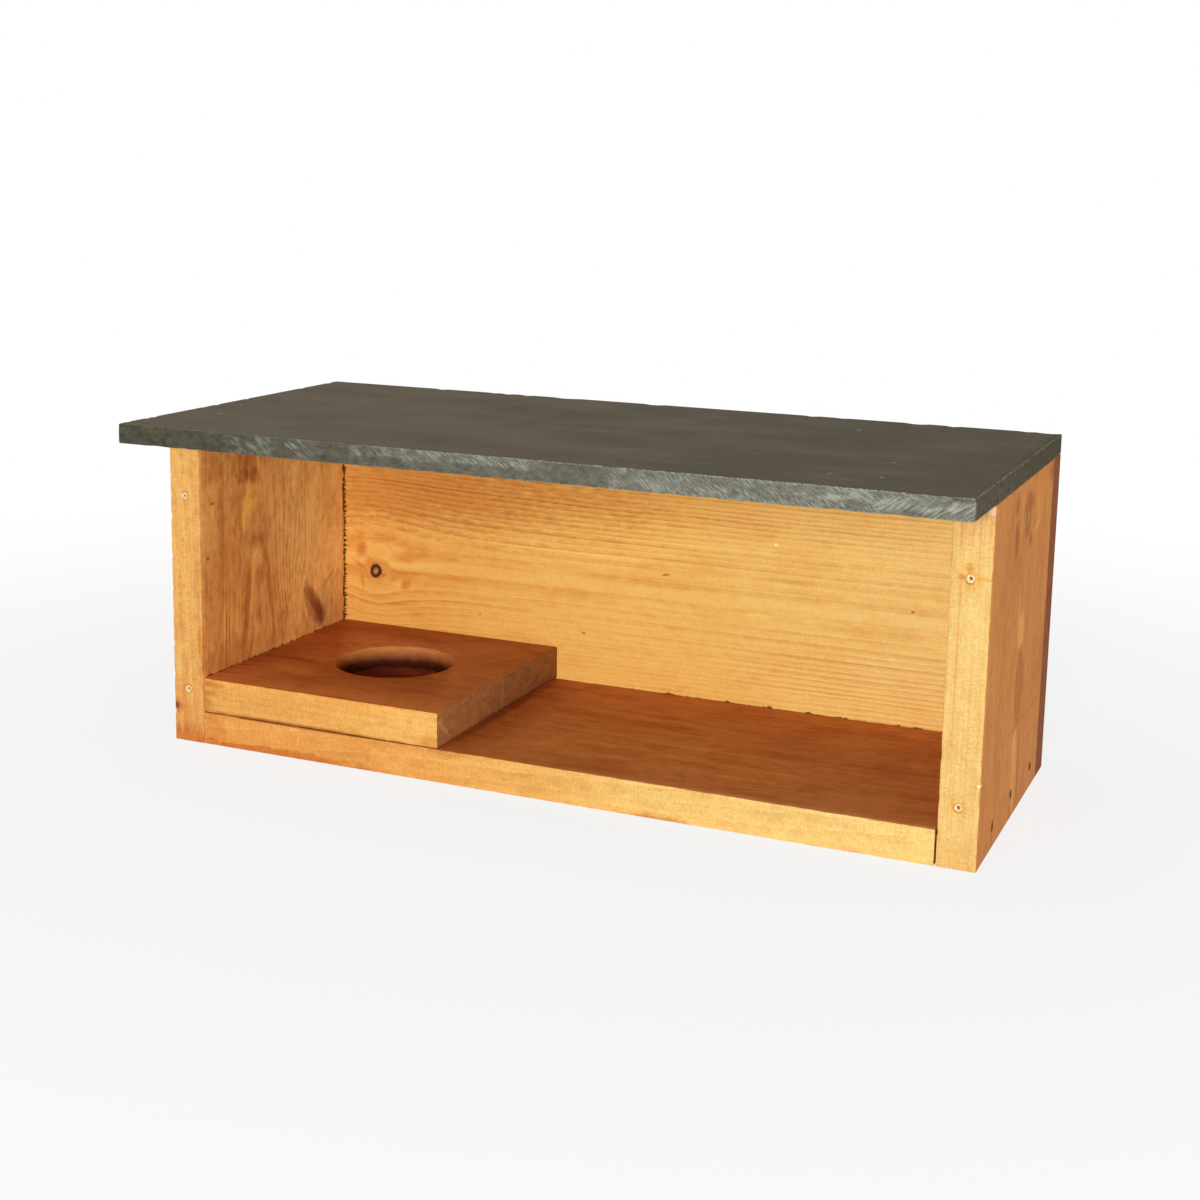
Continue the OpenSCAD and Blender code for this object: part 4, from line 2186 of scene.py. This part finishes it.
def floor_pine() -> PineFinish:
    """The floor board's wood, darker beside the nest block, with a painted shadow along the block's end.

    Returns:
        The finish.
    """
    top = Face(THROUGH, FLOOR_TOP)
    front = Face(ACROSS, FRONT_Y)
    redder = times(0.8, 0.58, 0.46)
    red_end = times(0.92, 0.68, 0.58)
    pale_end = times(1.04, 1.26, 1.6)
    return dark_pine(
        "floor_board",
        Rings((30, 60), 3.4, (0.02, 0.03), crowding=0.8, sway=3),
        (
            top.tint((-58, 10), (16, 90), times(0.7, 0.56, 0.5), 0.8, soft=0.8),
            # Painted shadow: a thin dark strip on the floor along the nest block's end
            top.tint((-60, 24), (3.4, 66), times(0.5, 0.36, 0.3), 0.85, soft=0.7),
            top.tint((-140, 14), (66, 66), times(1.45, 2, 2.2), 0.9, soft=0.4),
            top.tint((40, -20), (90, 30), times(1.16, 1.24, 1.2), 0.8, soft=0.8),
            top.tint((180, 0), (60, 60), times(1.04, 1.16, 1.24), 0.7, soft=0.9),
            *(
                top.tint((x, y), (half, 2.8), times(1.14, 1.22, 1.16), 0.8, turn, 0.8, 0.3)
                for x, y, half, turn in (
                    (0, 40, 70, -2), (20, 22, 60, -3), (60, 2, 80, -2),
                    (70, -18, 60, -3), (120, -36, 70, -1), (-10, -30, 40, -3),
                )
            ),
            front.tint((-160, 9), (120, 60), red_end, 0.8, soft=0.9, ragged=0.1),
            front.tint((215, 9), (150, 60), pale_end, 0.9, soft=0.9, ragged=0.1),
            front.tint((-170, 1), (55, 3), redder, 0.9, ragged=0.5),
            front.tint((70, 0), (18, 2.2), redder, 0.9, ragged=0.5),
            front.tint((-208, 9), (8, 10), redder, 0.5, ragged=0.5),
            front.tint((-150, 19), (70, 0.9), times(0.5, 0.36, 0.3), 0.8, soft=0.6),
        ),
    )


def block_pine() -> PineFinish:
    """The nest block's wood, with pale torn fibres just outside its hole, painted shade down the hole
    and a painted shadow along the foot of its end.

    Returns:
        The finish.
    """
    top = Face(THROUGH, BLOCK_TOP)
    front = Face(ACROSS, BLOCK_FRONT)
    end = Face(ALONG, BLOCK_RIGHT)
    round_the_hole = Face(THROUGH, BLOCK_TOP, deep=1.2)
    just_out = 36
    red = times(0.74, 0.5, 0.4)
    return dark_pine(
        "nest_block",
        Rings((-20, -40), 3.2, (0.05, 0.02), crowding=0.8, sway=3),
        (
            front.tint((-140, 29.3), (200, 60), times(0.97, 0.87, 0.8), 1, ragged=0),
            front.tint((-211, 36.4), (9, 1.8), red, 0.8, 0, 0.6, 0.5),
            front.tint((-212, 31), (6, 1.4), red, 0.6, 0, 0.6, 0.5),
            front.tint((-214, 24), (4, 5), red, 0.7, 0, 0.6, 0.5),
            front.tint((-66, 22), (5, 3.6), times(0.8, 0.62, 0.5), 0.8, 0, 0.6, 0.4),
            front.tint((-75, 30), (40, 16), times(1.02, 1.1, 1.16), 0.8, soft=0.8),
            front.tint((-160, 19.8), (60, 0.9), times(0.5, 0.36, 0.3), 0.8, soft=0.6),
            top.tint((-140, -50), (80, 26), times(1.08, 0.95, 0.8), 0.8, soft=0.8),
            top.tint((-140, 86), (90, 34), times(0.76, 0.78, 0.98), 0.9, soft=0.8),
            top.tint((-70, 0), (24, 60), times(0.92, 0.88, 0.94), 0.8, soft=0.8),
            top.tint((-208, 0), (16, 30), times(0.72, 0.58, 0.56), 0.8, soft=0.7, ragged=0.5),
            top.tint((-181, -7), (15, 3), times(0.76, 0.62, 0.6), 0.8, -4, 0.6),
            top.tint((-176, -25), (22, 6), times(1.16, 1.26, 1.2), 0.8, -4, 0.7),
            *(
                round_the_hole.mark(
                    (HOLE_X + just_out * math.cos(angle), HOLE_Y + just_out * math.sin(angle)),
                    (1.3, 0.6), seen(208, 140, 96), 0.6, ragged=0.5,
                )
                for angle in (0.7, 1, 1.22, 1.36, 1.62, 1.83, 2.04, 2.2, 2.5)
            ),
        ),
        (
            end.tint((50, 30), (50, 24), times(0.81, 0.93, 1.08), 0.9, soft=0.7),
            # Painted shadow: a dark line along the foot of the block's end, where it sits on the floor
            end.tint((30, 19.6), (70, 1.3), times(0.45, 0.4, 0.36), 0.85, soft=0.6),
            end.tint((16, 30), (1.6, 14), times(1.25, 1.32, 1.3), 0.8, soft=0.6),
            *(
                end.tint((y, z), (1.5, 0.9), times(1.35, 1.5, 1.55), 0.8, soft=0.6, ragged=0.1)
                for y, z in ((-63, 33.4), (-61, 31.7), (-59, 30), (-57, 28.3), (-55, 26.6),
                             (-53, 24.9), (-51, 23.2))
            ),
        ),
        # Painted shade that deepens down the nest hole, and painted light that pales the wall at its
        # foot
        HoleShade(19.5, (
            (0, seen(206, 132, 70)), (0.2, seen(176, 106, 56)), (0.48, seen(84, 36, 20)),
            (0.66, seen(62, 24, 12)), (0.8, seen(140, 66, 40)), (1, seen(186, 90, 56)),
        )),
    )


def roof_slate() -> SlateFinish:
    """The slate: a clouded top, edges with the strokes of a saw, and a few specks.

    Returns:
        The finish.
    """
    pale = seen(176, 174, 158)
    speck = 0.35
    top = Face(THROUGH, SLATE_TOP, deep=2)
    end = Face(ALONG, OUTER_X)
    return SlateFinish(
        name="sawn_slate",
        box=box_of("roof_slab"),
        face=seen(105, 95, 75),
        face_dark=seen(86, 77, 60),
        sawn=seen(92, 91, 80),
        # The front edge's painted shade towards its left end
        sawn_dark=seen(76, 72, 60),
        scratch=seen(158, 160, 146),
        end=seen(94, 86, 67),
        strokes=(
            Strokes(-36, (8, 2.4), (-158, -132), show=0.34),
            Strokes(-34, (10, 1.2), (-124, -112), show=0.5),
            Strokes(-36, (9, 2), (-83, -40), (187.5, 220), 0.55),
            Strokes(-38, (5, 0.8), (-50, 20), (188, 220), 0.7),
            Strokes(-52, (7.5, 0.7), (57, 90), show=0.7),
            Strokes(-42, (4, 0.7), (76, 200), show=0.68),
            Strokes(-30, (8, 0.8), (150, 222), (187, 220), 0.9),
            Strokes(36, (9, 0.7), (190, 240), (150, 191), 1),
            Strokes(-30, (7, 1), (240, 480), show=0.25),
        ),
        marks=(
            top.mark((131, 70.75), (1.2, 3.4), pale, 0.3, 0, speck, speck),
            top.mark((177, -32.25), (0.6, 2), pale, 0.5, 0, speck, speck),
            top.mark((183, -78.25), (0.7, 2), pale, 0.6, 0, speck, speck),
            top.mark((158, -80), (0.8, 3), pale, 0.4, 0, speck, speck),
            end.tint((70, 187), (80, 20), times(0.8, 0.77, 0.7), 0.9, soft=0.8),
            top.mark((-220, -15), (0.8, 1.4), pale, 0.6, 0, speck, speck),
            top.mark((-208, -54), (0.8, 1.8), pale, 0.5, 0, speck, speck),
        ),
    )


def main() -> None:
    """Builds the box piece by piece, and the studio round it."""
    logging.basicConfig(level=logging.INFO, format="%(name)s: %(message)s")
    right_nails = NailSet("right_floor_nails", Vector((-1, 0, 0)))
    left_nails = NailSet("left_floor_nails", Vector((1, 0, 0)))
    side_nails = NailSet("back_side_nails", Vector((0, -1, 0)))
    floor_nails = NailSet("back_floor_nails", Vector((0, -1, 0)))
    roof_nails = NailSet("roof_nails", Vector((0, 0, -1)))
    raw = RawPineFinish().make()
    left = SideBoard(
        "left_side", "side_pine", left_pine(), [left_nails], seed=11, hand=Hand.LEFT, raw=raw
    )
    right = SideBoard("right_side", "side_pine", right_pine(), [right_nails], seed=21, raw=raw)
    back = Board("back_panel", "pale_pine", back_pine(), [side_nails, floor_nails])
    floor = FloorBoard(
        "floor_board", "floor_pine", floor_pine(), [left_nails, right_nails, floor_nails], seed=31
    )
    block = NestBlock("nest_block", "nest_pine", block_pine(), body="nest_block", seed=41)
    slate = SlateRoof("roof_slab", "slate", roof_slate(), [roof_nails])
    makers = [board.build for board in (left, right, back, floor, block)]
    for make in (*makers, left.collars, right.collars, slate.build):
        piece = make()
        log.info("%s: %d faces", piece.name, len(piece.data.polygons))
    steel = NailFinish().make()
    for nails in (right_nails, left_nails, side_nails, floor_nails, roof_nails):
        nails.dress(steel)
        log.info("%s dressed", nails.node)
    Studio().build()


if __name__ == "__main__":
    main()
